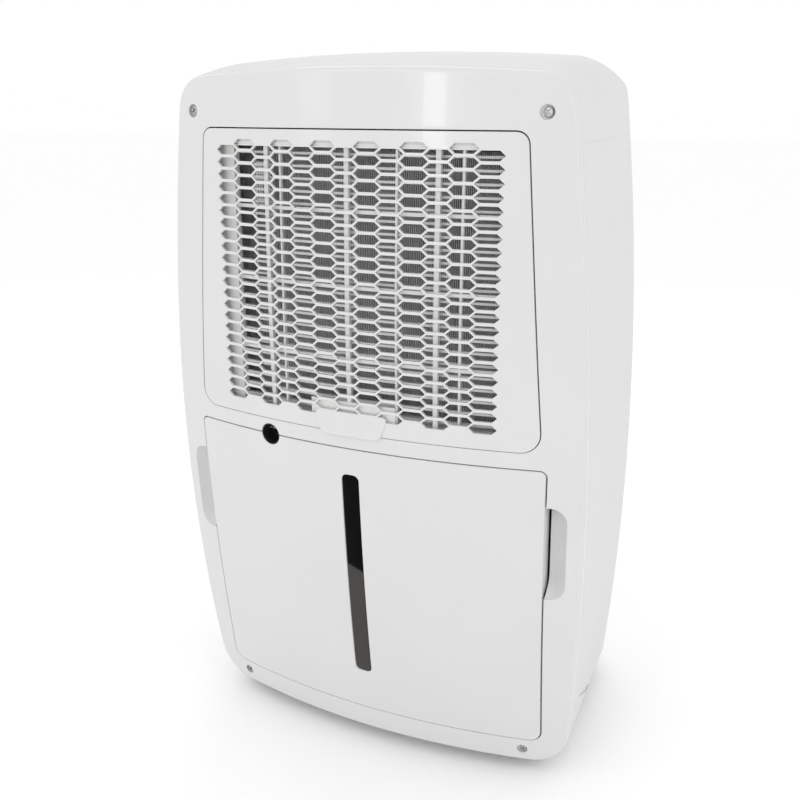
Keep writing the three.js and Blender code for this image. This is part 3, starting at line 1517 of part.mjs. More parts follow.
place("fan_duct", fanDuct(), "innerPlastic");
place("fan_wheel", fanWheel(), "darkPlastic", machine, [0, fanFront, fanZ]);
place("fan_motor", fanMotor(), "steel");
place("fan_nut", fanNut(), "steel");
place("motor_bracket", motorBracket(), "steel");

place("exhaust_grille", exhaustGrille(), "whitePlastic");
place("cord_inlet", cordInlet(), "darkPlastic");
place("electric_box", electricHousing(), "darkPlastic");
place("run_capacitor", runCapacitor(), "aluminium");

const controls = controlFrame();
machine.add(controls);
place("control_fascia", controlFascia(), "innerPlastic", controls);
place("display_lens", displayLens(), "clearPlastic", controls);
place("control_board", controlBoard(), "board", controls);
buttonNames.forEach((name, index) => {
  place(`button_${name}`, controlButton(), "screenPlastic", controls, [buttonPlaces[index], 0, 0]);
});

[["top", topScrew], ["bottom", bottomScrew]].forEach(([row, screw]) => {
  bothSides.forEach((side) => {
    const x = side * screw.x;
    const name = `panel_screw_${row}_${side < 0 ? "left" : "right"}`;
    place(name, panelScrew(screw), "steel", machine, [x, faceY(x, screw.z), screw.z]);
  });
});

casterPlaces().forEach(({ name, x, y }) => {
  const caster = new THREE.Group();
  caster.position.set(x, y, 0);
  machine.add(caster);
  place(`caster_fork_${name}`, casterFork(), "darkPlastic", caster);
  const wheel = place(`caster_wheel_${name}`, casterWheel(), "rubber", caster, [0, casterTrail, wheelRadius]);
  wheel.rotation.y = Math.PI / 2;
});

export default machine;
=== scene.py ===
# %% [markdown]
# # A portable dehumidifier, dressed piece by piece
#
# The mechanical model of this machine is already packed as a fixed frame: every part sits in its place and
# every part that moves has a joint. This notebook gives the frame its real surfaces. A part whose shape is
# right keeps it and gets a finish. A part that needs curves, fine holes or soft edges gets a new piece that
# stands for it and rides on the same body, so that it still moves with its joint.

# %% Load the frame
import json
import math

import bmesh
import bpy
from mathutils import Matrix, Vector

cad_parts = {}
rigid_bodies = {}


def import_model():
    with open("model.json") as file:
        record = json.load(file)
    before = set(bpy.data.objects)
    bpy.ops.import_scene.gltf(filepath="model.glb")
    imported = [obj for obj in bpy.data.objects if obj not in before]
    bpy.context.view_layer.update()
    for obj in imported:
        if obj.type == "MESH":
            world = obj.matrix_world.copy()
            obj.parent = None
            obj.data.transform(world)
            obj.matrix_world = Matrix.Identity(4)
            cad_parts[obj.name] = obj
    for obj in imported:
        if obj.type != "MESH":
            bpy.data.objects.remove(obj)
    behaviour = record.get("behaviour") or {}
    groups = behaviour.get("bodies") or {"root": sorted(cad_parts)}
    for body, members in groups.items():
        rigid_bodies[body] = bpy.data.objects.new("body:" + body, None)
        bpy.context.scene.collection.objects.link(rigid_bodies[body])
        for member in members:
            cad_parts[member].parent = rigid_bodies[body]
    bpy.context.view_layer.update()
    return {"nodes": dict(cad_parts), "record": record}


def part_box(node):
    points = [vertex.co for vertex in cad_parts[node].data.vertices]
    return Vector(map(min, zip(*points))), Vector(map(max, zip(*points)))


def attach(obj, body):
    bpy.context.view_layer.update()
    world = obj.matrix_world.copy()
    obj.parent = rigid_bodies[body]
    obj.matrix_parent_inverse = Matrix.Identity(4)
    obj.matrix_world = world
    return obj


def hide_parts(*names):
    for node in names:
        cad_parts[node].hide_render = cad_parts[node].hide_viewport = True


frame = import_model()
nodes = frame["nodes"]

# %% [markdown]
# ## The machine's own measures
#
# Everything below is worked out from where the frame's parts lie and from a few driving sizes. Blender
# counts in metres, so each size is written in millimetres and multiplied by `mm`.

# %% Read the main sizes
mm = 0.001
panel_low, panel_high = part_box("front_panel")
bucket_low, bucket_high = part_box("bucket_front")
cover_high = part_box("top_cover")[1]

face_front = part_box("filter_door")[0].y
back_wall = cover_high.y
full_depth = back_wall - face_front
half_width = panel_high.x
skirt = panel_low.z
face_top = panel_high.z
crest = cover_high.z
print("width, depth, height:", round(2 * half_width, 4), round(full_depth, 4), round(crest, 4))

# %% [markdown]
# ## The curves of the body
#
# Moulded appliances are seldom flat. The face bulges across and leans back at the bottom, the sides bow out
# at the waist and taper to the rear, and the top is a shallow dome. Each curve here is a very large circle,
# so one short formula each is enough, and every piece on the face can be made flat first and bent
# afterwards.

# %% The face, the sides and the dome as formulas
bulge_radius = 612 * mm
lean_start = 440 * mm
lower_lean_radius = 2200 * mm
upper_lean_radius = 9700 * mm
waist = 250 * mm
side_bow_radius = 2357 * mm
crown_radius = 2365 * mm
crest_depth = 115 * mm
rear_dome_radius = 650 * mm
side_taper = math.tan(math.radians(3))
rear_round = 45 * mm
rear_top_share = 0.6


def face_offset(x, z):
    """How far the face lies behind its front-most point, at one place on it."""
    lean_radius = lower_lean_radius if z < lean_start else upper_lean_radius
    return x ** 2 / (2 * bulge_radius) + (z - lean_start) ** 2 / (2 * lean_radius)


def half_width_at(z):
    return half_width - (z - waist) ** 2 / (2 * side_bow_radius)


def dome_height(depth):
    """The height of the top's middle line, at a depth behind the face."""
    front_radius = crest_depth ** 2 / (2 * (crest - face_top))
    radius = front_radius if depth < crest_depth else rear_dome_radius
    return crest - (depth - crest_depth) ** 2 / (2 * radius)


print("the face's edge lies", round(1000 * face_offset(half_width, waist), 1), "mm behind its middle")

# %% [markdown]
# ## Outlines
#
# A flat outline is a list of corners, each with the radius that rounds it. The outline of the whole body is
# drawn as one half, from the middle of the crown down the right side to the middle of the floor side,
# because the body is the same on both sides.

# %% Helpers for outlines
def spread(start, end, count):
    """Evenly spaced values from start to end, both included."""
    return [start + (end - start) * step / count for step in range(count + 1)]


def fillet(before, corner, after, radius, steps=6):
    """The points that round a corner between the runs to the points before and after it."""
    corner = Vector(corner)
    if radius == 0:
        return [corner]
    back = (Vector(before) - corner).normalized()
    ahead = (Vector(after) - corner).normalized()
    half_angle = back.angle(ahead) / 2
    reach = radius / math.tan(half_angle)
    middle = corner + (back + ahead).normalized() * radius / math.sin(half_angle)
    start = corner + back * reach - middle
    end = corner + ahead * reach - middle
    first = math.atan2(start.y, start.x)
    sweep = (math.atan2(end.y, end.x) - first + math.pi) % math.tau - math.pi
    angles = [first + sweep * step / steps for step in range(steps + 1)]
    return [middle + radius * Vector((math.cos(angle), math.sin(angle))) for angle in angles]


def rounded(corners, steps=6):
    """The points of a closed outline whose corners are (across, up, radius)."""
    places = [Vector(corner[:2]) for corner in corners]
    points = []
    for index, (across, up, radius) in enumerate(corners):
        after = places[(index + 1) % len(places)]
        points += fillet(places[index - 1], (across, up), after, radius, steps)
    return points


def rectangle(low, high, radius, steps=6):
    """The points of a rectangle with rounded corners, from its lowest and highest corner."""
    (left, bottom), (right, top) = low, high
    corners = [(left, bottom, radius), (right, bottom, radius), (right, top, radius), (left, top, radius)]
    return rounded(corners, steps)


print("points round a rounded square:", len(rectangle((0, 0), (1, 1), 0.1)))

# %% Helpers for circles, halves and turned outlines
def circle(radius, steps, middle=(0, 0)):
    angles = [math.tau * step / steps for step in range(steps)]
    return [Vector((middle[0] + radius * math.cos(a), middle[1] + radius * math.sin(a))) for a in angles]


def mirrored(points):
    """The same points on the left side, in the opposite order."""
    return [Vector((-point.x, point.y)) for point in reversed(points)]


def both_halves(points):
    """A closed outline from its right half, which starts and ends in the middle."""
    return points + mirrored(points)[1:-1]


def standing(points, depth=0):
    """Flat points stood upright, facing the viewer at this depth."""
    return [(point.x, depth, point.y) for point in points]


def lying(points, height=0):
    """Flat points laid level at this height."""
    return [(point.x, point.y, height) for point in points]


print("a circle of four points:", [tuple(round(value, 3) for value in point) for point in circle(1, 4)])

# %% The body's outline
top_corner = 26 * mm
low_corner = 33 * mm
least_corner = 6 * mm
corner_room = 1.2


def body_outline(top, inset, bottom):
    """Half of the body's outline at one depth, from the crown's middle round to the floor side's middle."""
    def crown(x):
        return top - x ** 2 / (2 * crown_radius)

    def side(z):
        return half_width_at(z) - inset

    upper_radius = max(top_corner - inset, least_corner)
    lower_radius = max(low_corner - inset, least_corner)
    corner = Vector((side(top), crown(side(top))))
    low = Vector((side(bottom), bottom))
    shoulder, foot = corner_room * upper_radius, corner_room * lower_radius
    crown_points = [Vector((x, crown(x))) for x in spread(0, corner.x - shoulder, 8)]
    side_points = [Vector((side(z), z)) for z in spread(corner.y - shoulder, bottom + foot, 22)]
    floor_points = [Vector((x, bottom)) for x in spread(low.x - foot, 0, 6)]
    upper_arc = fillet(crown_points[-1], corner, side_points[0], upper_radius, 10)
    lower_arc = fillet(side_points[-1], low, floor_points[0], lower_radius, 10)
    return crown_points + upper_arc + side_points + lower_arc + floor_points


print("points in half of the body's outline:", len(body_outline(face_top, 0, skirt)))

# %% [markdown]
# ## Finishes
#
# A finish is a node material. To keep the shader's arithmetic readable, `Wire` holds one output socket and
# lets Python's operators add the Math nodes: `1 + wire * 2` builds two of them. Its `node` method adds any
# other node from its type, its settings and what goes into its sockets.

# %% A small class that writes shader nodes
class Wire:
    """One output socket of a finish."""

    def __init__(self, tree, socket=None):
        self.tree = tree
        self.socket = socket

    def node(self, kind, settings, inputs, output=0):
        """Adds a node: its settings first, then the values or wires of its sockets."""
        made = self.tree.nodes.new(kind)
        for name, value in settings.items():
            setattr(made, name, value)
        for key, value in inputs.items():
            if isinstance(value, Wire):
                self.tree.links.new(value.socket, made.inputs[key])
            else:
                made.inputs[key].default_value = value
        return Wire(self.tree, made.outputs[output])

    def math(self, operation, first, second):
        return self.node("ShaderNodeMath", {"operation": operation}, {0: first, 1: second})

    def __add__(self, other):
        return self.math("ADD", self, other)

    def __radd__(self, other):
        return self.math("ADD", other, self)

    def __sub__(self, other):
        return self.math("SUBTRACT", self, other)

    def __mul__(self, other):
        return self.math("MULTIPLY", self, other)

    def noise(self, size, detail=2, roughness=0.5):
        """Cloudy values from 0 to 1, whose blotches are about this large, at this wire's place."""
        inputs = {"Vector": self, "Scale": 1 / size, "Detail": detail, "Roughness": roughness}
        return self.node("ShaderNodeTexNoise", {}, inputs)

    def between(self, low, high):
        """0 below low, 1 above high and an even ramp between them."""
        inputs = {"Value": self, "From Min": low, "From Max": high}
        return self.node("ShaderNodeMapRange", {"clamp": True}, inputs)

    def blend(self, first, second):
        """One colour turning into another as this wire goes from 0 to 1."""
        inputs = {0: self, 6: (*first, 1), 7: (*second, 1)}
        return self.node("ShaderNodeMix", {"data_type": "RGBA"}, inputs, output=2)

    def split(self):
        """The x, y and z of this wire's vector."""
        made = self.node("ShaderNodeSeparateXYZ", {}, {0: self})
        return [Wire(self.tree, output) for output in made.socket.node.outputs]


print("a wire can be added, subtracted, multiplied, blended and split")

# %% A named finish
class Finish:
    """A named material with a Principled shader, and the record's slot that it stands for."""

    def __init__(self, name, slot, **constants):
        self.material = bpy.data.materials.new(name)
        self.material.use_nodes = True
        self.slot = slot
        tree = self.material.node_tree
        self.shader = tree.nodes["Principled BSDF"]
        for socket, value in constants.items():
            self.shader.inputs[socket.replace("_", " ")].default_value = value
        self.place = Wire(tree).node("ShaderNodeTexCoord", {}, {}, output=3)

    def set(self, socket, wire):
        """Feeds one of the shader's sockets from a wire."""
        wire.tree.links.new(wire.socket, self.shader.inputs[socket])

    def bump(self, height, distance):
        """Raises the surface by a height wire, by this many metres at full height."""
        self.set("Normal", height.node("ShaderNodeBump", {}, {"Height": height, "Distance": distance}))


print("a finish starts from the Principled shader")

# %% [markdown]
# ## White moulded plastic
#
# The casing is white ABS. Freshly moulded plastic isn't a mirror: the mould's polish leaves a very fine
# pebble that softens reflections, the colour drifts slightly where the melt cooled unevenly, and handling
# leaves areas that are a little duller. Noises of different sizes give those effects. The front is
# polished; the casing behind it has nearly the same colour but a much duller skin.

# %% Plastics
def moulded(name, slot, colour, shade, roughness, spread_of_gloss, pebble, relief, **constants):
    """A moulded plastic: two near colours, a gloss that varies, and a fine pebbled skin."""
    finish = Finish(name, slot, **constants)
    place = finish.place
    drift = place.noise(90 * mm)
    handled = place.noise(28 * mm, detail=4)
    skin = place.noise(pebble, detail=3, roughness=0.6)
    wave = place.noise(pebble * 14, detail=1)
    finish.set("Base Color", drift.between(0.3, 0.7).blend(colour, shade))
    finish.set("Roughness", roughness + (handled - 0.5) * spread_of_gloss)
    finish.bump(skin * 0.35 + wave * 0.65, relief)
    return finish


white = moulded("white_gloss", "white_plastic", (0.67, 0.67, 0.667), (0.655, 0.656, 0.653), 0.2, 0.08,
                0.9 * mm, 0.008 * mm, Coat_Weight=0.3, Coat_Roughness=0.03)
casing_white = moulded("white_casing", "white_plastic", (0.69, 0.69, 0.687), (0.675, 0.676, 0.673), 0.5, 0.1,
                       0.9 * mm, 0.012 * mm, Specular_IOR_Level=0.15)
# This white is lighter than the casing's. On the filter and the shroud deep behind the grille, that extra
# lightness is painted light, standing in for the light that reaches in through the holes.
satin_white = moulded("white_satin", "screen_plastic", (0.80, 0.80, 0.79), (0.77, 0.77, 0.76), 0.42, 0.12,
                      0.8 * mm, 0.02 * mm)
inner_grey = moulded("inner_grey", "inner_plastic", (0.40, 0.41, 0.42), (0.36, 0.37, 0.38), 0.5, 0.15,
                     0.7 * mm, 0.03 * mm)
black = moulded("black_moulded", "dark_plastic", (0.018, 0.018, 0.019), (0.026, 0.026, 0.027), 0.45, 0.15,
                0.6 * mm, 0.03 * mm)
rubber = moulded("soft_rubber", "rubber", (0.02, 0.02, 0.02), (0.035, 0.034, 0.033), 0.78, 0.15,
                 0.5 * mm, 0.05 * mm)
enamel = moulded("black_enamel", "enamel", (0.014, 0.014, 0.015), (0.022, 0.022, 0.023), 0.3, 0.1,
                 1.2 * mm, 0.03 * mm, Coat_Weight=0.5)
board = moulded("laminate", "circuit_board", (0.03, 0.11, 0.05), (0.04, 0.14, 0.06), 0.4, 0.1,
                0.4 * mm, 0.01 * mm)
foam = moulded("closed_cell_foam", "foam", (0.72, 0.70, 0.64), (0.62, 0.60, 0.54), 0.85, 0.1,
               1.1 * mm, 0.35 * mm)
print("plastics:", [m.name for m in bpy.data.materials][-9:])

# %% [markdown]
# ## Metals
#
# Sheet metal and drawn pipe are told by their direction: rolling and drawing leave fine streaks along the
# part. Stretching a noise many times along one axis draws those streaks, and they vary the gloss much more
# than the colour.

# %% Metals
def drawn(name, slot, colour, shade, roughness, stretch, relief, shine=1.0):
    """A metal whose streaks run along the axis that the stretch makes long."""
    finish = Finish(name, slot, Metallic=shine)
    stretched = finish.place.node("ShaderNodeMapping", {}, {"Vector": finish.place, "Scale": stretch})
    streaks = stretched.noise(0.6 * mm, detail=3)
    stains = finish.place.noise(14 * mm, detail=4)
    finish.set("Base Color", stains.between(0.35, 0.75).blend(colour, shade))
    finish.set("Roughness", roughness + (streaks - 0.5) * 0.25 + (stains - 0.5) * 0.12)
    finish.bump(streaks, relief)
    return finish


steel = drawn("plated_steel", "steel", (0.52, 0.52, 0.52), (0.40, 0.40, 0.39), 0.3, (1, 1, 0.08), 0.01 * mm)
aluminium = drawn("coated_aluminium", "aluminium", (0.66, 0.66, 0.67), (0.56, 0.56, 0.57), 0.5,
                  (1, 1, 0.05), 0.02 * mm, shine=0.35)
copper = drawn("drawn_copper", "copper", (0.62, 0.30, 0.17), (0.42, 0.18, 0.10), 0.32, (1, 1, 0.1), 0.01 * mm)
print("metals: plated steel, rolled aluminium, drawn copper")

# %% [markdown]
# ## The water window
#
# The level window is one strip of smoked clear plastic. Its upper part is near black, and its lower part is
# painted a greyer tone, a painted reflection of the pale floor, with a slanting border between the two. A
# ramp along the height, tilted slightly across, mixes the two tones.

# %% Smoked window plastic with a painted reflection
painted_reflection_height = 0.19
painted_reflection_slope = 0.4
painted_reflection_blur = 1.5 * mm


def smoked():
    """A near-black tone and a painted reflection of the floor, meeting along a slanting border, under one
    glossy skin.
    """
    finish = Finish("smoked_window", "window_plastic", Specular_IOR_Level=0.05)
    across, _, height = finish.place.split()
    border = (height + across * painted_reflection_slope).between(painted_reflection_height - painted_reflection_blur, painted_reflection_height + painted_reflection_blur)
    haze = finish.place.noise(9 * mm, detail=3)
    # Below the border the colour is the greyer painted reflection of the floor; above it, the plastic's near
    # black.
    finish.set("Base Color", border.blend((0.064, 0.060, 0.058), (0.002, 0.002, 0.002)))
    finish.set("Roughness", 0.12 + (haze - 0.5) * 0.08)
    finish.bump(haze, 0.01 * mm)
    return finish


window_finish = smoked()
print("the window's tones meet at", painted_reflection_height, "m")

# %% [markdown]
# ## Camera, floor and light
#
# The machine stands on a plain pale floor. A camera a little above the grille looks slightly down and to
# the left of the machine's own axis, so that the face and the right side both show. Large soft lamps light
# it from the front, the top and the right, which is how small appliances are usually shown.

# %% Set up the camera
def add_camera(place, turn, lens):
    data = bpy.data.cameras.new("camera")
    data.lens = lens
    data.sensor_width = 36
    camera = bpy.data.objects.new("camera", data)
    camera.location = place
    camera.rotation_euler = [math.radians(angle) for angle in turn]
    bpy.context.scene.collection.objects.link(camera)
    bpy.context.scene.camera = camera


add_camera((0.35501, -0.78308, 0.56291), (73.4984, -0.3846, 25.6105), 42.676)
print("lens:", round(bpy.context.scene.camera.data.lens, 2), "mm")

# %% Set up the lamps
def add_softbox(name, place, target, width, height, power):
    data = bpy.data.lights.new(name, "AREA")
    data.shape = "RECTANGLE"
    data.size = width
    data.size_y = height
    data.energy = power
    lamp = bpy.data.objects.new(name, data)
    lamp.location = place
    lamp.rotation_euler = (Vector(target) - Vector(place)).to_track_quat("-Z", "Y").to_euler()
    bpy.context.scene.collection.objects.link(lamp)


machine = (0, 0, 0.3)
add_softbox("key_light", (-0.6, -1.5, 1.7), machine, 1.3, 1.0, 3)
add_softbox("side_light", (1.9, -0.5, 1.0), machine, 1.2, 1.4, 3)
add_softbox("top_light", (0.0, 0.3, 2.2), machine, 1.6, 1.6, 1)
add_softbox("back_light", (-0.6, 1.8, 1.4), machine, 1.4, 1.2, 2)
add_softbox("strip_light", (-0.17, -1.47, 0.75), (0.07, -0.14, 0.58), 0.12, 0.5, 0.9)
add_softbox("window_light", (-0.98, -1.50, 0.68), (-0.02, -0.14, 0.57), 0.22, 0.3, 0.2)
print("lamps:", len(bpy.data.lights))

# %% Set up the white surroundings and the floor
world = bpy.data.worlds.new("studio")
bpy.context.scene.world = world
world.use_nodes = True
world.node_tree.nodes["Background"].inputs["Color"].default_value = (1, 1, 1, 1)
world.node_tree.nodes["Background"].inputs["Strength"].default_value = 1.0
bpy.context.scene.view_settings.view_transform = "Standard"

floor_mesh = bmesh.new()
bmesh.ops.create_grid(floor_mesh, x_segments=1, y_segments=1, size=30)
floor_data = bpy.data.meshes.new("floor")
floor_mesh.to_mesh(floor_data)
floor_mesh.free()
floor = bpy.data.objects.new("floor", floor_data)
bpy.context.scene.collection.objects.link(floor)
pale = moulded("pale_floor", "white_plastic", (0.99, 0.99, 0.99), (0.98, 0.98, 0.98), 0.8, 0.1,
               4 * mm, 0.01 * mm)
floor_data.materials.append(pale.material)
print("the floor is", round(max(floor.dimensions)), "m wide")

# %% [markdown]
# ## How a piece is finished
#
# Each new piece is modelled in a `bmesh`, then handed to `piece`, which makes the object, shades it smooth
# except along true corners, gives it its finish and lets it ride on its body. Where large flat areas meet
# small roundings, a Weighted Normal modifier lets the flat areas keep their own shading.

# %% Helpers that finish a piece
def walled(made, thickness):
    """Gives a skin its wall, inwards. Open edges are marked sharp, so that they don't bend the shading."""
    skin = bmesh.new()
    skin.from_mesh(made.data)
    for edge in skin.edges:
        edge.smooth = edge.smooth and not edge.is_boundary
    skin.to_mesh(made.data)
    skin.free()
    wall = made.modifiers.new("wall", "SOLIDIFY")
    wall.thickness = thickness
    wall.offset = -1


def piece(bm, name, body, finish, stands_for=(), corner=38, weighted=False, wall=None):
    """Turns a bmesh into a finished piece that rides on a body and stands for some of the frame's parts."""
    mesh = bpy.data.meshes.new(name)
    bm.to_mesh(mesh)
    bm.free()
    mesh.shade_smooth()
    mesh.set_sharp_from_angle(angle=math.radians(corner))
    mesh.materials.append(finish.material)
    made = bpy.data.objects.new(name, mesh)
    bpy.context.scene.collection.objects.link(made)
    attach(made, body)
    if stands_for:
        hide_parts(*stands_for)
    if weighted:
        normals = made.modifiers.new("weighted_normals", "WEIGHTED_NORMAL")
        normals.keep_sharp = True
        normals.weight = 90
    if wall:
        walled(made, wall)
    print(name, "-", len(mesh.polygons), "faces, rides on", body)


# %% [markdown]
# Most skins here are grown line by line, as a shipbuilder planks a hull: a first run of vertices is
# extruded, and the new run is moved onto the next line of the shape. The same two steps also make the wall
# of a hole.

# %% Helpers that grow a skin
def vertices_in(geometry):
    return [part for part in geometry if isinstance(part, bmesh.types.BMVert)]


def chain(bm, points, closed=False):
    """A run of vertices joined by edges."""
    verts = [bm.verts.new(point) for point in points]
    ends = verts[1:] + verts[:1] if closed else verts[1:]
    for pair in zip(verts, ends):
        bm.edges.new(pair)
    return verts


def run_edges(bm, verts, closed=True):
    """The edges along a run of vertices."""
    ends = verts[1:] + verts[:1] if closed else verts[1:]
    return [bm.edges.get(pair) for pair in zip(verts, ends)]


def grow(bm, rim, points, closed=False):
    """Extrudes a rim, and moves its new vertices to the next ring's points."""
    made = bmesh.ops.extrude_edge_only(bm, edges=run_edges(bm, rim, closed))
    fresh = set(vertices_in(made["geom"]))
    grown = [next(e.other_vert(v) for e in v.link_edges if e.other_vert(v) in fresh) for v in rim]
    for vert, point in zip(grown, points):
        vert.co = point
    return grown


def loft(bm, rings, closed=False):
    """A skin through rings that have the same number of points."""
    rim = chain(bm, rings[0], closed)
    for ring in rings[1:]:
        rim = grow(bm, rim, ring, closed)
    return rim


sample = bmesh.new()
loft(sample, [[(0, 0, 0), (1, 0, 0)], [(0, 1, 0), (1, 1, 0)], [(0, 2, 1), (1, 2, 1)]])
print("a loft through three short lines has", len(sample.faces), "faces")
sample.free()

# %% Helpers that clean, thicken and cut
def clean(bm):
    """Merges doubled vertices and turns every face outwards."""
    bmesh.ops.remove_doubles(bm, verts=bm.verts, dist=0.001 * mm)
    bmesh.ops.recalc_face_normals(bm, faces=bm.faces)
    return bm


def thicken(bm, way):
    """Extrudes every face by this way, which turns a flat sheet into a slab."""
    made = bmesh.ops.extrude_face_region(bm, geom=bm.faces[:])
    bmesh.ops.translate(bm, verts=vertices_in(made["geom"]), vec=way)
    return clean(bm)


def cut(bm, place, normal, faces=None, **clear):
    """Cuts faces along a plane, or the whole skin when none are named."""
    geometry = bm.verts[:] + bm.edges[:] + bm.faces[:]
    if faces is not None:
        edges = {edge for face in faces for edge in face.edges}
        verts = {vert for face in faces for vert in face.verts}
        geometry = [*verts, *edges, *faces]
    bmesh.ops.bisect_plane(bm, geom=geometry, dist=0.0005 * mm, plane_co=place, plane_no=normal, **clear)


print("helpers that clean, thicken and cut are ready")

# %% [markdown]
# ## Plates that follow the face
#
# The front panel, the grille door and the bucket's front are one bulged surface cut by seams. Bending a
# finished plate is far easier than modelling on a curve: each plate is drawn flat as polygons, extruded
# backwards, its rims bevelled, sliced into a grid and only then pushed onto the bulge. Polygons can't have
# holes, so each plate is two halves that meet in the middle, and an opening in the middle becomes a notch
# in each half.

# %% Helpers for plates
slice_across = 12 * mm
slice_up = 24 * mm


def plate(outlines, thickness):
    """A flat plate from closed outlines that share their middle line, with its front at zero."""
    bm = bmesh.new()
    for outline in outlines:
        bm.faces.new([bm.verts.new(point) for point in standing(outline)])
    bmesh.ops.remove_doubles(bm, verts=bm.verts, dist=0.001 * mm)
    return thicken(bm, (0, thickness, 0))


def front_rims(bm, chosen=lambda middle: True):
    """The edges between the front of a plate and its walls."""
    def is_rim(edge):
        level = all(abs(vert.co.y) < 0.001 * mm for vert in edge.verts)
        return level and edge.calc_face_angle(0) > 1 and chosen((edge.verts[0].co + edge.verts[1].co) / 2)
    return [edge for edge in bm.edges if is_rim(edge)]


def soften(bm, edges, radius, segments):
    bmesh.ops.bevel(bm, geom=edges, offset=radius, segments=segments, profile=0.5, affect="EDGES",
                    material=-1, clamp_overlap=True)


def slice_up_to_bend(bm):
    """Cuts every face on a grid, so that the plate can bend both ways."""
    lows = [min(vert.co[axis] for vert in bm.verts) for axis in range(3)]
    highs = [max(vert.co[axis] for vert in bm.verts) for axis in range(3)]
    for axis, step in ((0, slice_across), (2, slice_up)):
        normal = Vector((0, 0, 0))
        normal[axis] = 1
        for count in range(math.ceil(lows[axis] / step), math.floor(highs[axis] / step) + 1):
            cut(bm, normal * step * count, normal)


def bend_onto_face(bm):
    """Pushes a flat plate back onto the bulged face."""
    for vert in bm.verts:
        vert.co.y += face_front + face_offset(vert.co.x, vert.co.z)


def fit_to_face(bm, back=0):
    """Slices a flat plate, sets it this far back and bends it onto the face."""
    slice_up_to_bend(bm)
    bmesh.ops.translate(bm, verts=bm.verts, vec=(0, back, 0))
    bend_onto_face(bm)


print("plates are sliced every", slice_across, "m across and", slice_up, "m up")

# %% [markdown]
# Two seams divide the face: one round the filter door and one round the bucket. Both outlines are drawn
# once with a `grow_by`: zero gives the piece inside the seam, and the seam's width gives the panel's
# opening.

# %% The seams that divide the face
door_bottom = 316.7 * mm
door_top = 554.9 * mm
door_top_half = 138.9 * mm
door_low_half = 157.6 * mm
door_top_corner = 9 * mm
door_low_corner = 15 * mm
sharp_corner = 1 * mm
door_seam = 0.9 * mm
door_foot_seam = 0.4 * mm
bucket_bottom = bucket_low.z
bucket_top = bucket_high.z
bucket_top_half = bucket_high.x
bucket_low_half = bucket_high.x - 1.7 * mm
bucket_top_corner = 5 * mm
bucket_low_corner = 10 * mm
bucket_seam = 0.8 * mm
bucket_foot_seam = 0.25 * mm
bucket_right_seam = 1.1 * mm
bucket_left_seam = 0.35 * mm
grip_top = 271.2 * mm
grip_bottom = 188.3 * mm
grip_outer = 178.6 * mm
grip_corner = 13 * mm
outlet_x = -79.3 * mm
outlet_z = 301.9 * mm
outlet_radius = 9.5 * mm
print("the door is", round(2000 * door_low_half, 1), "mm wide at its foot")

# %% Outlines of the door and the bucket
def door_half_at(z):
    share = (z - door_bottom) / (door_top - door_bottom)
    return door_low_half + (door_top_half - door_low_half) * share


def door_edge(grow_by):
    """Right half of the door's outline, from its bottom middle up to its top middle."""
    low, high = door_bottom - min(grow_by, door_foot_seam), door_top + grow_by
    low_corner_radius = max(door_low_corner + grow_by, sharp_corner)
    top_corner_radius = max(door_top_corner + grow_by, sharp_corner)
    return rounded([(0, low, 0), (door_half_at(low) + grow_by, low, low_corner_radius),
                    (door_half_at(high) + grow_by, high, top_corner_radius), (0, high, 0)])


def bucket_half_at(z):
    share = (z - bucket_bottom) / (bucket_top - bucket_bottom)
    return bucket_low_half + (bucket_top_half - bucket_low_half) * share


def outlet_arc(level, above):
    """The outlet hole's edge above or below a level, from its right end to its left end."""
    tilt = math.asin((level - outlet_z) / outlet_radius)
    end = math.pi - tilt if above else -math.pi - tilt
    return [Vector((outlet_x + outlet_radius * math.cos(a), outlet_z + outlet_radius * math.sin(a)))
            for a in spread(tilt, end, 14)]


def bucket_edge(grow_by, side=0.0, notch=False):
    """Right half of the bucket's outline, from its bottom middle up to its top middle."""
    foot = bucket_foot_seam + grow_by - bucket_seam if grow_by else 0
    low, high = bucket_bottom - foot, bucket_top + grow_by
    corners = [(0, low, 0), (bucket_half_at(low) + side, low, bucket_low_corner + side)]
    if notch:
        corners += [(bucket_half_at(grip_bottom) + side, grip_bottom, sharp_corner),
                    (grip_outer, grip_bottom, grip_corner), (grip_outer, grip_top, grip_corner),
                    (bucket_half_at(grip_top) + side, grip_top, sharp_corner)]
    corners += [(bucket_half_at(high) + side, high, bucket_top_corner + side), (0, high, 0)]
    return rounded(corners)


def with_outlet(points, level, above):
    """Left-hand points with the outlet's arc let into the straight run at this level."""
    arc = outlet_arc(level, above)
    at = next(i for i, p in enumerate(points) if abs(p.y - level) < 0.01 * mm and p.x < outlet_x)
    if points[at - 1].x > outlet_x:
        return points[:at] + arc + points[at:]
    return points[:at + 1] + arc[::-1] + points[at + 1:]


print("points in half of the bucket's outline:", len(bucket_edge(0)), "- with the grip:",
      len(bucket_edge(0, notch=True)))

# %% [markdown]
# ## Openings
#
# Holes with a shape of their own, such as a screw's well or the opening for the controls, are made in two
# steps. The skin is cut along a rectangle around the hole and cleared inside it, and the room between the
# rectangle's border and the hole's outline is filled. The outline can then be extruded into a wall or a
# well.

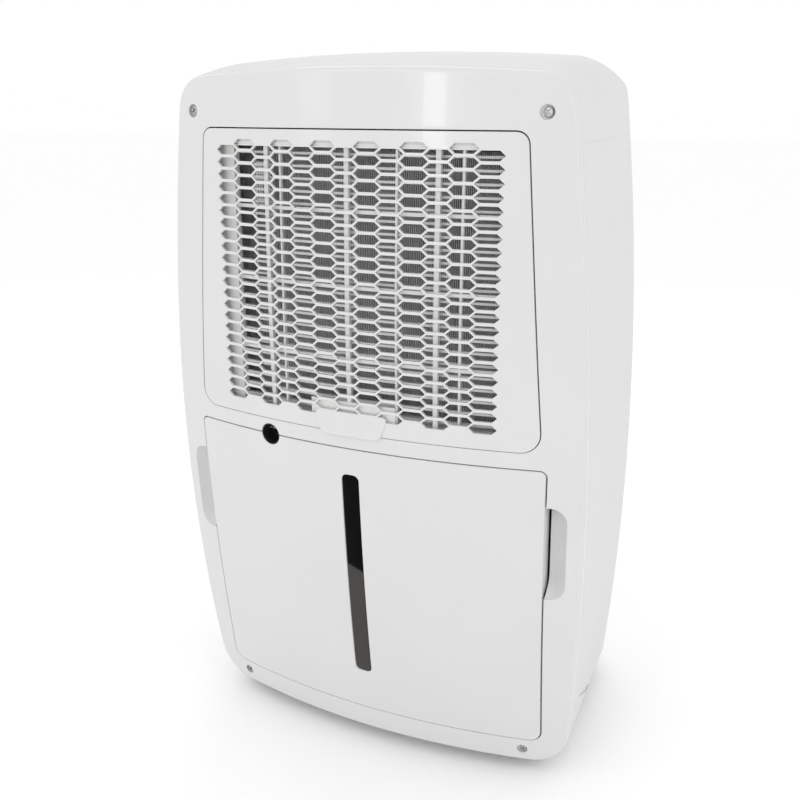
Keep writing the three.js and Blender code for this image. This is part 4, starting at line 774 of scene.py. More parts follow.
# %% Helpers for openings
def open_hole(bm, axes, low, high, outline, chosen):
    """Opens a hole in the chosen faces of a skin, and returns the rim of vertices round it."""
    def within(place):
        return all(low[i] - 0.001 * mm < place[axes[i]] < high[i] + 0.001 * mm for i in (0, 1))

    bm.normal_update()
    for axis, level in ((axes[0], low[0]), (axes[0], high[0]), (axes[1], low[1]), (axes[1], high[1])):
        normal = Vector((0, 0, 0))
        normal[axis] = 1
        cut(bm, normal * level, normal, [face for face in bm.faces if chosen(face)])
        bm.normal_update()
    inside = [face for face in bm.faces if chosen(face) and within(face.calc_center_median())]
    bmesh.ops.delete(bm, geom=inside, context="FACES")
    border = [edge for edge in bm.edges if edge.is_boundary and chosen(edge.link_faces[0])
              and all(within(vert.co) for vert in edge.verts)]
    rim = chain(bm, outline, closed=True)
    bmesh.ops.triangle_fill(bm, edges=border + run_edges(bm, rim), use_beauty=True)
    return rim


def sink(bm, rim, way):
    """Extrudes a rim into a wall and closes it with a floor."""
    bm.faces.new(grow(bm, rim, [vert.co + Vector(way) for vert in rim], closed=True))


print("opening helpers are ready")

# %% [markdown]
# ## The front panel
#
# The front panel is the frame round the door and the bucket. Its outer edge is softly rounded, and a dark
# seam parts it from the cabinet. The seams round its two openings are crisp. Four screws hold it, each sunk
# in a round well.

# %% Model the front panel
panel_thickness = 6 * mm
panel_edge_round = 3.4 * mm
opening_round = 0.7 * mm
bucket_opening_half = 180 * mm
door_opening_half = 160 * mm
foot_room = 2 * mm
head_room = 3 * mm
outlet_room = 12 * mm
screw_names = ["panel_screw_" + row + "_" + side for row in ("top", "bottom") for side in ("left", "right")]
well_depth = 4 * mm
well_lip = 0.6 * mm
well_room = 1.2 * mm
well_margin = 1.5 * mm


def is_front(face):
    return face.normal.y < -0.9 and abs(face.calc_center_median().y) < 0.01 * mm


def panel_half(side_seam):
    """Right half of the panel: down its outer edge, then up the middle and round both openings."""
    outer = body_outline(face_top, 0, skirt)
    return outer + bucket_edge(bucket_seam, side_seam, notch=True) + door_edge(door_seam)


def is_opening_rim(middle):
    """Tells the rims of the two openings from the panel's outer edge."""
    outlet_top = bucket_top + outlet_room
    beside_bucket = bucket_bottom - foot_room < middle.z < outlet_top and abs(middle.x) < bucket_opening_half
    beside_door = bucket_top < middle.z < door_top + head_room and abs(middle.x) < door_opening_half
    return beside_bucket or beside_door


def screw_place(name):
    low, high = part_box(name)
    return (low + high) / 2, (high.x - low.x) / 2


right_half = panel_half(bucket_right_seam)
left_half = with_outlet(mirrored(panel_half(bucket_left_seam)), bucket_top + bucket_seam, above=True)
panel = plate([right_half, left_half], panel_thickness)
soften(panel, front_rims(panel, is_opening_rim), opening_round, 2)
soften(panel, front_rims(panel, lambda middle: not is_opening_rim(middle)), panel_edge_round, 6)
for name in screw_names:
    spot, head_radius = screw_place(name)
    well_radius = head_radius + well_room
    reach = well_radius + well_margin
    low = (spot.x - reach, spot.z - reach)
    high = (spot.x + reach, spot.z + reach)
    ring = standing(circle(well_radius, 28, (spot.x, spot.z)))
    rim = open_hole(panel, (0, 2), low, high, ring, is_front)
    bottom = Vector((spot.x, well_lip, spot.z))
    lip = grow(panel, rim, [vert.co + (bottom - vert.co) * 0.08 for vert in rim], closed=True)
    sink(panel, lip, (0, well_depth - well_lip, 0))
clean(panel)
slice_up_to_bend(panel)
print("front panel before bending:", len(panel.faces), "faces")

# %% [markdown]
# At its crown the panel has to run into the rising cover without a step. Its edge is therefore lifted along
# the dome's curve, the more the further back it lies, and the lift fades out below the crown.

# %% Lift the panel's crown and bend the panel
crown_blend = 20 * mm
fully_lifted = face_top - 5 * mm
for vert in panel.verts:
    share = (vert.co.z - fully_lifted + crown_blend) / crown_blend
    vert.co.z += (dome_height(vert.co.y) - face_top) * min(max(share, 0), 1)
bend_onto_face(panel)
piece(panel, "face_panel", "cabinet", white, ["front_panel"], weighted=True)

# %% [markdown]
# ## The cabinet and its top cover
#
# The cabinet and the cover are one moulded form, cut by a seam that rises slightly to the back. The form is
# a row of half outlines set one behind the other: a soft lip at the front, straight tapered sides, and a
# large rounding into the flat back. Lofting the right half and mirroring it keeps both sides alike. The
# same skin is then made twice, and each copy keeps what lies on its side of the seam.

# %% Half of the body's outline at any depth
body_seam = 7.2 * mm
lip_round = 4.4 * mm
seam_height = 546 * mm
seam_rise = 0.024
seam_gap = 0.06 * mm
shell_wall = 2.4 * mm
crown_closing = 1.3 * mm
crown_lip_from = 6 * mm
crown_lip_fade = 45 * mm
straight_end = full_depth - rear_round


def body_ring(depth, lip=0.0, behind=0.0):
    """Half of the body's outline at a depth. The front lip pulls its sides in, and sets them behind it."""
    past = max(depth - straight_end, 0)
    rounding = rear_round - math.sqrt(max(rear_round ** 2 - past ** 2, 0))
    inset = side_taper * depth + rounding
    top = dome_height(depth) - rear_top_share * rounding
    outer = body_outline(top, inset, skirt)
    inner = body_outline(top - lip, inset + lip, skirt + lip)
    fade = (full_depth - depth) / (full_depth - body_seam)
    ring = []
    for wide, narrow in zip(outer, inner):
        share = min(max((face_top - crown_lip_from - wide.y) / crown_lip_fade, 0.08), 1)
        spot = wide.lerp(narrow, share)
        closing = crown_closing * (1 - share) if depth == body_seam else 0
        back = face_front + depth + behind * share - closing + face_offset(spot.x, spot.y) * min(fade, 1)
        ring.append((spot.x, back, spot.y))
    return ring


print("places in half a ring of the body:", len(body_ring(body_seam)))

# %% Loft the body's skin
exhaust_low, exhaust_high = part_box("exhaust_grille")
exhaust_corner = 8 * mm


def body_skin():
    """The whole outside of the body, behind the front seam."""
    bm = bmesh.new()
    turns = [math.radians(angle) for angle in (0, 18, 36, 54, 72, 90)]
    rings = [body_ring(body_seam, lip_round * (1 - math.sin(turn)), lip_round * (1 - math.cos(turn)))
             for turn in turns]
    depths = spread(body_seam + lip_round, straight_end, 9)[1:]
    turns = [math.radians(angle) for angle in (15, 30, 45, 60, 75, 90)]
    depths += [straight_end + rear_round * math.sin(turn) for turn in turns]
    rings += [body_ring(depth) for depth in depths]
    rim = loft(bm, rings)
    exhaust = rounded([(0, exhaust_low.z, 0), (exhaust_high.x, exhaust_low.z, exhaust_corner),
                       (exhaust_high.x, exhaust_high.z, exhaust_corner), (0, exhaust_high.z, 0)])
    hole = [bm.verts.new(point) for point in standing(exhaust, back_wall)]
    bm.faces.new(rim + hole)
    bmesh.ops.mirror(bm, geom=bm.verts[:] + bm.edges[:] + bm.faces[:], matrix=Matrix.Identity(4),
                     merge_dist=0.01 * mm, axis="X")
    return clean(bm)


def turn_outwards(bm):
    """Turns all faces of an open skin the same way, out of the machine."""
    bmesh.ops.recalc_face_normals(bm, faces=bm.faces)
    sideways = max(bm.faces, key=lambda face: face.calc_center_median().x)
    if sideways.normal.x < 0:
        bmesh.ops.reverse_faces(bm, faces=bm.faces)


def body_part(below_seam):
    """The skin of the cabinet, below the seam, or of the cover, above it."""
    bm = body_skin()
    level = seam_height - seam_gap / 2 if below_seam else seam_height + seam_gap / 2
    cut(bm, (0, face_front, level), (0, -seam_rise, 1), clear_outer=below_seam, clear_inner=not below_seam)
    turn_outwards(bm)
    return bm


cabinet = body_part(below_seam=True)
cover = body_part(below_seam=False)
print("faces in the cabinet's skin:", len(cabinet.faces), "- in the cover's:", len(cover.faces))

# %% [markdown]
# The cabinet is opened in two more places: underneath by a window for the casters, and at the back by a
# round hole for the mains lead's bush. Low on its right side lies a short slanted finger groove, which is
# cut with four slanted planes and pushed inwards.

# %% Helper for the finger groove
groove_depth = 138 * mm
groove_height = 48 * mm
groove_length = 72 * mm
groove_width = 6 * mm
groove_slope = 0.5
groove_cut = 1.6 * mm
right_side_from = 100 * mm


def cut_groove(bm):
    """Cuts a slanted rectangle out of the right side and pushes it inwards."""
    along = Vector((0, 1, -groove_slope)).normalized()
    across = Vector((0, groove_slope, 1)).normalized()
    middle = Vector((0, face_front + groove_depth, groove_height))
    limits = [(across, groove_width / 2), (-across, groove_width / 2), (along, groove_length / 2),
              (-along, groove_length / 2)]
    for normal, reach in limits:
        faces = [face for face in bm.faces if face.calc_center_median().x > right_side_from]
        cut(bm, middle + normal * reach, normal, faces)

    def inside(face):
        place = face.calc_center_median() - middle
        near = all(place.dot(normal) < reach for normal, reach in limits)
        return near and face.calc_center_median().x > right_side_from

    chosen = [face for face in bm.faces if inside(face)]
    made = bmesh.ops.extrude_face_region(bm, geom=chosen)
    bmesh.ops.delete(bm, geom=chosen, context="FACES")
    bmesh.ops.translate(bm, verts=vertices_in(made["geom"]), vec=(-groove_cut, 0, 0))


print("the groove is", round(1000 * groove_length), "mm long and", round(1000 * groove_cut, 1), "mm deep")

# %% Cut the window for the casters
side_room = 18 * mm
front_room = 20 * mm
rear_room = 4 * mm
window_depth = 6 * mm
front_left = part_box("caster_wheel_front_left")[0]
front_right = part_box("caster_wheel_front_right")[1]
rear_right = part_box("caster_wheel_rear_right")[1]


def cut_caster_window(bm):
    """Cuts the underside along four upright planes and one level one, and clears what lies inside."""
    left, right = front_left.x - side_room, front_right.x + side_room
    front, back = front_left.y - front_room, rear_right.y + rear_room
    top = skirt + window_depth
    for across in (left, right):
        cut(bm, (across, 0, 0), (1, 0, 0))
    for depth in (front, back):
        cut(bm, (0, depth, 0), (0, 1, 0))
    cut(bm, (0, 0, top), (0, 0, 1))
    middles = {face: face.calc_center_median() for face in bm.faces}
    inside = [face for face, middle in middles.items()
              if left < middle.x < right and front < middle.y < back and middle.z < top]
    bmesh.ops.delete(bm, geom=inside, context="FACES")


cut_caster_window(cabinet)
print("faces in the cabinet with its window:", len(cabinet.faces))

# %% Open the cabinet for the bush, cut the groove and give it its wall
inlet_low, inlet_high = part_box("cord_inlet")
inlet = (inlet_low + inlet_high) / 2
bush_radius = 8.4 * mm
bush_reach = 11 * mm


def is_back(face):
    return face.normal.y > 0.9 and face.calc_center_median().y > back_wall - 0.1 * mm


ring = standing(circle(bush_radius, 32, (inlet.x, inlet.z)), back_wall)
open_hole(cabinet, (0, 2), (inlet.x - bush_reach, inlet.z - bush_reach),
          (inlet.x + bush_reach, inlet.z + bush_reach), ring, is_back)
cut_groove(cabinet)
turn_outwards(cabinet)
piece(cabinet, "cabinet_shell", "cabinet", casing_white, ["cabinet_wrap"], corner=45, wall=shell_wall)

# %% [markdown]
# The controls lie in a shallow tilted pocket of the cover. Their frame is placed once as a matrix, so that
# the plate, the keys and the display are all modelled flat around the origin and then carried there.

# %% Place the controls on the cover
control_depth = 188 * mm
control_half_width = 100 * mm
control_half_length = 32 * mm
control_corner = 8 * mm
control_slope = math.atan((control_depth - crest_depth) / rear_dome_radius)
control_place = Matrix.Translation((0, face_front + control_depth, dome_height(control_depth)))
control_frame = control_place @ Matrix.Rotation(-control_slope, 4, "X")


def crown_at(x, y):
    """The height of the top cover at a place on it."""
    behind = y - face_front
    offset = face_offset(x, face_top)
    fade_length = full_depth - body_seam
    depth = (behind - offset * full_depth / fade_length) / (1 - offset / fade_length)
    return dome_height(depth) - x ** 2 / (2 * crown_radius)


def control_outline(grow_by):
    width, length = control_half_width + grow_by, control_half_length + grow_by
    return rectangle((-width, -length), (width, length), control_corner + grow_by, 8)


print("the controls tilt by", round(math.degrees(control_slope), 2), "degrees")

# %% Model the top cover
pocket_round = 0.9 * mm
pocket_room = 0.2 * mm
pocket_margin = 3 * mm


def is_top(face):
    return face.normal.z > 0.8


places = [control_frame @ Vector(point) for point in lying(control_outline(pocket_round))]
ring = [(place.x, place.y, crown_at(place.x, place.y)) for place in places]
y_low = min(place.y for place in places) - pocket_margin
y_high = max(place.y for place in places) + pocket_margin
x_high = max(place.x for place in places) + pocket_margin
rim = open_hole(cover, (0, 1), (-x_high, y_low), (x_high, y_high), ring, is_top)
inner = [control_frame @ Vector(point) for point in lying(control_outline(pocket_room), -pocket_round)]
lip = [Vector((place.x, place.y, vert.co.z - pocket_round)) for place, vert in zip(inner, rim)]
grow(cover, rim, lip, closed=True)
turn_outwards(cover)
piece(cover, "top_shell", "cabinet", casing_white, ["top_cover"], corner=50, wall=shell_wall)

# %% [markdown]
# Between the panel and the cabinet runs a seam about a millimetre wide. A thin black tongue stands behind
# it, as the real panel's inner flange does, so that no light falls through. Its black is painted shade,
# which darkens the seam beyond what a flange of the panel's white would show.

# %% Model the seam's tongue
tongue_inset = 3.4 * mm
tongue_depths = (5.9 * mm, 7 * mm, 9 * mm, 13 * mm)
tongue_wall = 1.2 * mm


def tongue_ring(depth):
    outline = body_outline(face_top - tongue_inset, tongue_inset, skirt + tongue_inset)
    return [(p.x, face_front + depth + face_offset(p.x, p.y), p.y) for p in both_halves(outline)]


tongue = bmesh.new()
loft(tongue, [tongue_ring(depth) for depth in tongue_depths], closed=True)
clean(tongue)
turn_outwards(tongue)
# The tongue's black finish is painted shade in the seam.
piece(tongue, "panel_tongue", "cabinet", black, wall=tongue_wall)

# %% [markdown]
# ## The bucket's front
#
# The bucket is pulled out by its front, which closes the lower half of the face. It carries the upright
# level window in its middle and gives way to the drain outlet with a half-round notch at its top. It is
# deeper than the panel, because the fingers reach behind it in the two grips.

# %% Model the bucket's front
bucket_thickness = 14 * mm
crisp_round = 0.8 * mm
window_half = 8 * mm
window_bottom = 80.5 * mm
window_top = 278.8 * mm
window_corner = 5 * mm


def bucket_half():
    notch = rounded([(0, window_top, 0), (window_half, window_top, window_corner),
                     (window_half, window_bottom, window_corner), (0, window_bottom, 0)])
    return bucket_edge(0) + notch


right_half = bucket_half()
left_half = with_outlet(mirrored(right_half), bucket_top, above=False)
bucket = plate([right_half, left_half], bucket_thickness)
soften(bucket, front_rims(bucket), crisp_round, 3)
fit_to_face(bucket)
piece(bucket, "bucket_face", "bucket", white, ["bucket_front"], weighted=True)

# %% [markdown]
# The window is a strip of smoked plastic with a rounded rim, set a little behind the face. It is one plate,
# so it can be drawn whole and bent with the same formula.

# %% Model the level window
window_recess = 0.9 * mm
glass_gap = 0.3 * mm
glass_thickness = 4 * mm
glass_low = (glass_gap - window_half, window_bottom + glass_gap)
glass_high = (window_half - glass_gap, window_top - glass_gap)
strip = plate([rectangle(glass_low, glass_high, window_corner - glass_gap)], glass_thickness)
soften(strip, front_rims(strip), crisp_round, 3)
fit_to_face(strip, window_recess)
piece(strip, "level_window", "bucket", window_finish, ["bucket_window"])

# %% [markdown]
# Round the bucket's bay runs a grey collar, the front end of the bay's lining. It closes the view through
# the seam into the machine, and it is a loft of three rings: in along the opening, back, and outwards.

# %% Model the collar of the bucket's bay
collar_front = 5.8 * mm
collar_back = 18 * mm
collar_gap = 0.6 * mm
collar_flange = 6 * mm
collar_wall = 1.2 * mm


def collar_ring(depth, grow_by):
    half = bucket_edge(bucket_seam + grow_by, bucket_right_seam + grow_by, notch=True)
    return standing(both_halves(half), depth)


collar = bmesh.new()
loft(collar, [collar_ring(collar_front, collar_gap), collar_ring(collar_back, collar_gap),
              collar_ring(collar_back, collar_flange)], closed=True)
clean(collar)
bend_onto_face(collar)
piece(collar, "bucket_surround_collar", "cabinet", inner_grey, ["bucket_surround"], wall=collar_wall)

# %% [markdown]
# ## The two grips
#
# Beside the bucket the panel opens into a scooped pocket on each side. The scoop starts at the face, along
# the notch's outline, and dives towards the bucket's edge, where a dark gap is left for the fingertips. It
# is a loft between those two lines, eased so that it leaves the face steeply and flattens out below.

# %% The lines of a scoop
scoop_depth = 13 * mm
scoop_gap = 1.0 * mm
scoop_wall = 1.2 * mm
scoop_start = 0.4 * mm
scoop_hem = Vector((0.5 * mm, 6 * mm, 0))
slow_dive = 0.22


def notch_line():
    """The right notch's outline, from the bucket's edge at its foot round to the bucket's edge at its top."""
    foot, head = grip_bottom, grip_top
    near_foot = bucket_half_at(foot) + bucket_seam
    near_head = bucket_half_at(head) + bucket_seam
    arc = fillet((near_foot, foot), (grip_outer, foot), (grip_outer, head), grip_corner, 8)
    upper = fillet((grip_outer, foot), (grip_outer, head), (near_head, head), grip_corner, 8)
    side = [arc[-1].lerp(upper[0], step / 10) for step in range(1, 10)]
    return [Vector((near_foot, foot))] + arc + side + upper + [Vector((near_head, head))]


def scoop_ring(line, share):
    """One line of the scoop, from the notch's outline at share 0 to the gap beside the bucket at share 1."""
    ring = []
    for step, point in enumerate(line):
        along = step / (len(line) - 1)
        height = grip_bottom + (grip_top - grip_bottom) * along
        inner = Vector((bucket_half_at(height) + bucket_seam + scoop_gap, height))
        spot = point.lerp(inner, share)
        rise = min(along / slow_dive, 1)
        dive = scoop_depth * math.sin(rise * math.pi / 2) * math.sin(share * math.pi / 2) ** 0.8
        ring.append((spot.x, scoop_start + dive, spot.y))
    return ring


print("a scoop's outline has", len(notch_line()), "points")

# %% Model the scoops
def scoop(side):
    """The scoop on the right (side 1) or on the left (side -1)."""
    bm = bmesh.new()
    line = notch_line()
    rim = loft(bm, [scoop_ring(line, share) for share in spread(0, 1, 8)])
    grow(bm, rim, [vert.co + scoop_hem for vert in rim])
    if side < 0:
        bmesh.ops.scale(bm, vec=(-1, 1, 1), verts=bm.verts)
    clean(bm)
    bend_onto_face(bm)
    outer = min(bm.faces, key=lambda face: face.calc_center_median().y)
    if outer.normal.y > 0:
        bmesh.ops.reverse_faces(bm, faces=bm.faces)
    return bm


for side, side_name in ((1, "right"), (-1, "left")):
    piece(scoop(side), "grip_scoop_" + side_name, "cabinet", white, corner=60, wall=scoop_wall)

# %% [markdown]
# ## The grille door
#
# The air passes through a honeycomb of flat hexagons. One cell is made as a ring between its hole and its
# share of the web. Copies of it stand side by side in thirteen staggered columns, and merging their shared
# corners gives one web. The solid border is filled between the web's outer edge and the door's outline.

# %% Model one cell and repeat it
column_pitch = 18.84 * mm
row_pitch = 9.76 * mm
top_hole = 538.3 * mm
columns = range(-6, 7)
rows = range(22)
cell_corner = 12.06 * mm
cell_flat = 6.78 * mm
hole_corner = 10.95 * mm
hole_flat = 6.9 * mm
hole_half_height = 3.65 * mm


def hexagon(corner_reach, flat_reach, half_height):
    return [(corner_reach, 0, 0), (flat_reach, 0, half_height), (-flat_reach, 0, half_height),
            (-corner_reach, 0, 0), (-flat_reach, 0, -half_height), (flat_reach, 0, -half_height)]


def cell_middle(column, row):
    raised = row_pitch / 2 if column % 2 else 0
    return Vector((column * column_pitch, 0, top_hole + raised - row * row_pitch))


door = bmesh.new()
chain(door, hexagon(cell_corner, cell_flat, row_pitch / 2), closed=True)
chain(door, hexagon(hole_corner, hole_flat, hole_half_height), closed=True)
bmesh.ops.bridge_loops(door, edges=door.edges[:])
pattern = door.verts[:]
cell = pattern + door.edges[:] + door.faces[:]
for column in columns:
    for row in rows:
        copied = bmesh.ops.duplicate(door, geom=cell)["geom"]
        bmesh.ops.translate(door, verts=vertices_in(copied), vec=cell_middle(column, row))
bmesh.ops.delete(door, geom=pattern, context="VERTS")
bmesh.ops.remove_doubles(door, verts=door.verts, dist=0.05 * mm)
print("the web has", len(door.faces), "faces and", len(columns) * len(rows), "holes")

# %% Fill the border, give it thickness and soften the holes
door_thickness = 2.6 * mm
hole_round = 0.45 * mm
hole_lengths = (2 * hole_flat, math.hypot(hole_corner - hole_flat, hole_half_height))
border = [e for e in door.edges if e.is_boundary
          and all(abs(e.calc_length() - length) > 0.02 * mm for length in hole_lengths)]
frame_rim = chain(door, standing(both_halves(door_edge(0))), closed=True)
bmesh.ops.triangle_fill(door, edges=border + run_edges(door, frame_rim), use_beauty=True, normal=(0, -1, 0))
bmesh.ops.dissolve_degenerate(door, dist=0.001 * mm, edges=door.edges)
thicken(door, (0, door_thickness, 0))
soften(door, front_rims(door), hole_round, 2)
fit_to_face(door)
piece(door, "grille_door", "filter", white, ["filter_door"], corner=50, weighted=True)

# %% [markdown]
# The door is pulled open by a smooth pad at its foot, which covers the web and the seam below it. It starts
# flush with the web and swells towards its foot, so only its lower edge throws a soft shadow on the panel.

# %% Model the pull pad
pad_foot = 313.5 * mm
pad_head = 334 * mm
pad_rise = 0.15 * mm
pad_swell = 2.1 * mm
pad_thickness = 3 * mm
pad_round = 1.2 * mm
pad = plate([rounded([(-24 * mm, pad_foot, 6 * mm), (29 * mm, pad_foot, 6 * mm), (36 * mm, pad_head, 4 * mm),
                      (-32 * mm, pad_head, 4 * mm)])], pad_thickness)
soften(pad, front_rims(pad), pad_round, 5)
slice_up_to_bend(pad)
for vert in pad.verts:
    fall = (pad_head - vert.co.z) / (pad_head - pad_foot)
    vert.co.y -= pad_rise + pad_swell * fall
bend_onto_face(pad)
piece(pad, "pull_pad", "filter", white, weighted=True)

# %% [markdown]
# ## The filter behind the grille
#
# Through every second column of holes a thin white slat shows in each row, and three heavier bars cross the
# other columns. Upright ribs of two widths carry them, in a frame that lies close behind the door. Fine ribs
# run along its top, and a boss at its foot holds the latch. Beside the coil a small grating covers the
# humidity sensor. Everything is drawn flat, then sliced and bent together.

# %% Measure the filter frame
frame_front = 4 * mm
rib_front = 5 * mm
rib_back = 8 * mm
strip_front = 7.5 * mm
strip_edge = -111 * mm
screen_front = 12 * mm
screen_back = 15 * mm
border_left = -129 * mm
border_right = 125.5 * mm
border_top = 541.8 * mm
border_bottom = 324 * mm
major_ribs = (-75.5 * mm, -0.5 * mm, 73.7 * mm)
minor_ribs = (-61.5 * mm, 41.5 * mm, 92.8 * mm)
heavy_rows = (5, 11, 17)
slat_drop = 1.4 * mm
slat_half = 0.95 * mm
heavy_rise = 0.3 * mm
heavy_half = 1.4 * mm
major_half = 1.9 * mm
minor_half = 0.9 * mm
print("the filter frame is", round(1000 * (border_right - border_left), 1), "mm wide inside")

# %% Helpers for bars
def bar(bm, low, high):
    """A straight bar between two corners."""
    size = Vector(high) - Vector(low)
    middle = (Vector(high) + Vector(low)) / 2
    bmesh.ops.create_cube(bm, size=1, matrix=Matrix.Translation(middle) @ Matrix.Diagonal((*size, 1)))


def join(bm, other):
    """Moves another bmesh's faces into this one."""
    mesh = bpy.data.meshes.new("joined")
    other.to_mesh(mesh)
    other.free()
    bm.from_mesh(mesh)
    bpy.data.meshes.remove(mesh)


print("bar helpers are ready")

# %% Model the slats and the ribs
screen = bmesh.new()


def cross_bar(height, half_height, front, back):
    bar(screen, (strip_edge, front, height - half_height), (border_right, back, height + half_height))


def upright_bar(across, half):
    bar(screen, (across - half, rib_front, border_bottom), (across + half, rib_back, border_top))


for row in rows:
    cross_bar(top_hole - slat_drop - row * row_pitch, slat_half, screen_front, screen_back)
for row in heavy_rows:
    cross_bar(cell_middle(1, row).z + heavy_rise, heavy_half, rib_front, rib_back)
for across in major_ribs:
    upright_bar(across, major_half)
for across in minor_ribs:
    upright_bar(across, minor_half)
print("slats and ribs:", len(rows) + len(heavy_rows) + len(major_ribs) + len(minor_ribs))

# %% Add the top ribs, the latch boss and the sensor's grating
first_top_rib = border_top + 0.4 * mm
top_rib_pitch = 2.0 * mm
top_rib_height = 0.9 * mm
top_rib_depth = 0.7 * mm
boss_low = (-36 * mm, frame_front, border_bottom)
boss_high = (41 * mm, screen_front, 342 * mm)
sensor_left, sensor_low, sensor_depth = -96 * mm, 494 * mm, 19 * mm
sensor_width, sensor_height = 11.5 * mm, 35 * mm
sensor_column, sensor_column_pitch = 1.1 * mm, 2.6 * mm
sensor_row, sensor_row_pitch = 1.2 * mm, 4.2 * mm
sensor_column_back = sensor_depth + 1.5 * mm
sensor_row_back = sensor_depth + 1.4 * mm

for step in range(3):
    height = first_top_rib + top_rib_pitch * step
    low = (border_left, frame_front - top_rib_depth, height)
    bar(screen, low, (border_right, frame_front, height + top_rib_height))
bar(screen, (border_left, strip_front, border_bottom), (strip_edge, screen_back, border_top))
bar(screen, boss_low, boss_high)
for step in range(5):
    left = sensor_left + sensor_column_pitch * step
    bar(screen, (left, sensor_depth, sensor_low),
        (left + sensor_column, sensor_column_back, sensor_low + sensor_height))
for step in range(9):
    low = sensor_low + sensor_row_pitch * step
    bar(screen, (sensor_left, sensor_depth, low),
        (sensor_left + sensor_width, sensor_row_back, low + sensor_row))
print("the latch boss is", round(1000 * (boss_high[0] - boss_low[0])), "mm wide")

# %% Close the filter frame's rail and bend it
rail_inset = 4.5 * mm
rail_edge = door_edge(-rail_inset)
right_rim = rail_edge + [Vector((0, border_top)), Vector((border_right, border_top)),
                         Vector((border_right, border_bottom)), Vector((0, border_bottom))]
left_rim = mirrored(rail_edge) + [Vector((0, border_bottom)), Vector((border_left, border_bottom)),
                                  Vector((border_left, border_top)), Vector((0, border_top))]
rail = plate([right_rim, left_rim], screen_back - frame_front)
bmesh.ops.translate(rail, verts=rail.verts, vec=(0, frame_front, 0))
join(screen, rail)
fit_to_face(screen)
# The satin white's extra lightness is painted light here, deep behind the grille.
piece(screen, "filter_slats", "filter", satin_white, ["filter_screen"])

# %% [markdown]
# ## The cold coil
#
# Behind the filter stands the evaporator, a block of thin aluminium fins pressed on copper pipes. A solid
# block can't catch the light as fins do, so each fin is its own sheet, with a flat end plate on either
# side. A shroud of white plastic leads the air from the door to the coil and closes the view beside it.

# %% Model the fins and the end plates
fin_pitch = 1.6 * mm
fin_wall = 0.45 * mm
end_plate_gap = 1 * mm
end_plate_edge = 13 * mm
end_plate_front = 0.5 * mm
end_plate_back = 1.5 * mm
fins_low, fins_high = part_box("evaporator_fins")

fins = bmesh.new()
fin_count = int((fins_high.x - fins_low.x - fin_wall) / fin_pitch)
for index in range(fin_count + 1):
    left = fins_low.x + index * fin_pitch
    bar(fins, (left, fins_low.y, fins_low.z), (left + fin_wall, fins_high.y, fins_high.z))
for edge_x, way in ((fins_low.x, -1), (fins_high.x, 1)):
    bar(fins, (edge_x + way * end_plate_gap, fins_low.y + end_plate_front, fins_low.z),
        (edge_x + way * end_plate_edge, fins_low.y + end_plate_back, fins_high.z))
piece(fins, "coil_fins", "cabinet", aluminium, ["evaporator_fins"])

# %% Model the shroud
shroud_length = 40 * mm
shroud_inset = 8 * mm
shroud_wall = 2 * mm
shroud_gap = 1.2 * mm
shroud_half = door_edge(-shroud_inset) + door_edge(-shroud_inset - shroud_wall)[::-1]
shroud = plate([shroud_half, mirrored(shroud_half)], shroud_length)
fit_to_face(shroud, screen_back + shroud_gap)
# The satin white's extra lightness is painted light here, deep behind the grille.
piece(shroud, "coil_shroud", "cabinet", satin_white)

# %% [markdown]
# ## Screws
#
# The panel's screws are pan heads with a cross recess. The head is built from the middle out: a plus-shaped
# floor, the walls up from it, a flat ring bridged to a circle, and then the rounded brim and the side.

# %% Helpers for a screw head
def moved(bm, *matrices):
    """Applies matrices to the whole bmesh, the last one first."""
    whole = Matrix.Identity(4)
    for matrix in matrices:
        whole = whole @ matrix
    bmesh.ops.transform(bm, matrix=whole, verts=bm.verts)
    return bm


def plus_outline(reach, half_slot):
    """The outline of a plus sign, one arm after the other."""
    arm = [(reach, half_slot), (half_slot, half_slot), (half_slot, reach)]
    points = []
    for turn in range(4):
        cosine, sine = math.cos(math.pi / 2 * turn), math.sin(math.pi / 2 * turn)
        points += [Vector((x * cosine - y * sine, x * sine + y * cosine)) for x, y in arm]
    return points


def screw_head(radius, height):
    """A head whose top is at z 0, with its recess sunk into it."""
    bm = bmesh.new()
    cross = chain(bm, lying(plus_outline(0.62 * radius, 0.17 * radius)), closed=True)
    brim = chain(bm, lying(circle(0.72 * radius, 32)), closed=True)
    bmesh.ops.bridge_loops(bm, edges=run_edges(bm, cross) + run_edges(bm, brim))
    sink(bm, cross, (0, 0, -0.55 * height))
    for share in (0.35, 0.65, 1.0):
        angle = share * math.pi / 2
        reach = radius * (0.72 + 0.28 * math.sin(angle))
        drop = -0.5 * height * (1 - math.cos(angle))
        brim = grow(bm, brim, lying(circle(reach, 32), drop), closed=True)
    sink(bm, brim, (0, 0, -0.5 * height))
    return clean(bm)


print("corners in a cross recess:", len(plus_outline(1, 0.3)))

# %% Place the four screws
screw_height = 2.4 * mm
screw_sink = 1.1 * mm
twist_of_side = {"left": 25, "right": 50}
facing_out = Matrix.Rotation(math.pi / 2, 4, "X")
facing_in = Matrix.Rotation(-math.pi / 2, 4, "X")
for name in screw_names:
    spot, head_radius = screw_place(name)
    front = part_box(name)[0].y + screw_sink
    twist = Matrix.Rotation(math.radians(twist_of_side[name.split("_")[-1]]), 4, "Z")
    place = Matrix.Translation((spot.x, front, spot.z))
    head = moved(screw_head(0.86 * head_radius, screw_height), place, facing_out, twist)
    piece(head, "cross_" + name.replace("panel_", ""), "cabinet", steel, [name], corner=30)

# %% [markdown]
# ## The drain outlet
#
# A hose can be pushed onto a spigot that ends in the round hole above the bucket. It is one spun profile: a
# thin tube with a rounded bead for the hose and a dark bore. A black sleeve lines the hole around it. The
# sleeve is spun too, and then bent with the face, so that its front edge lies evenly behind the hole's rim.

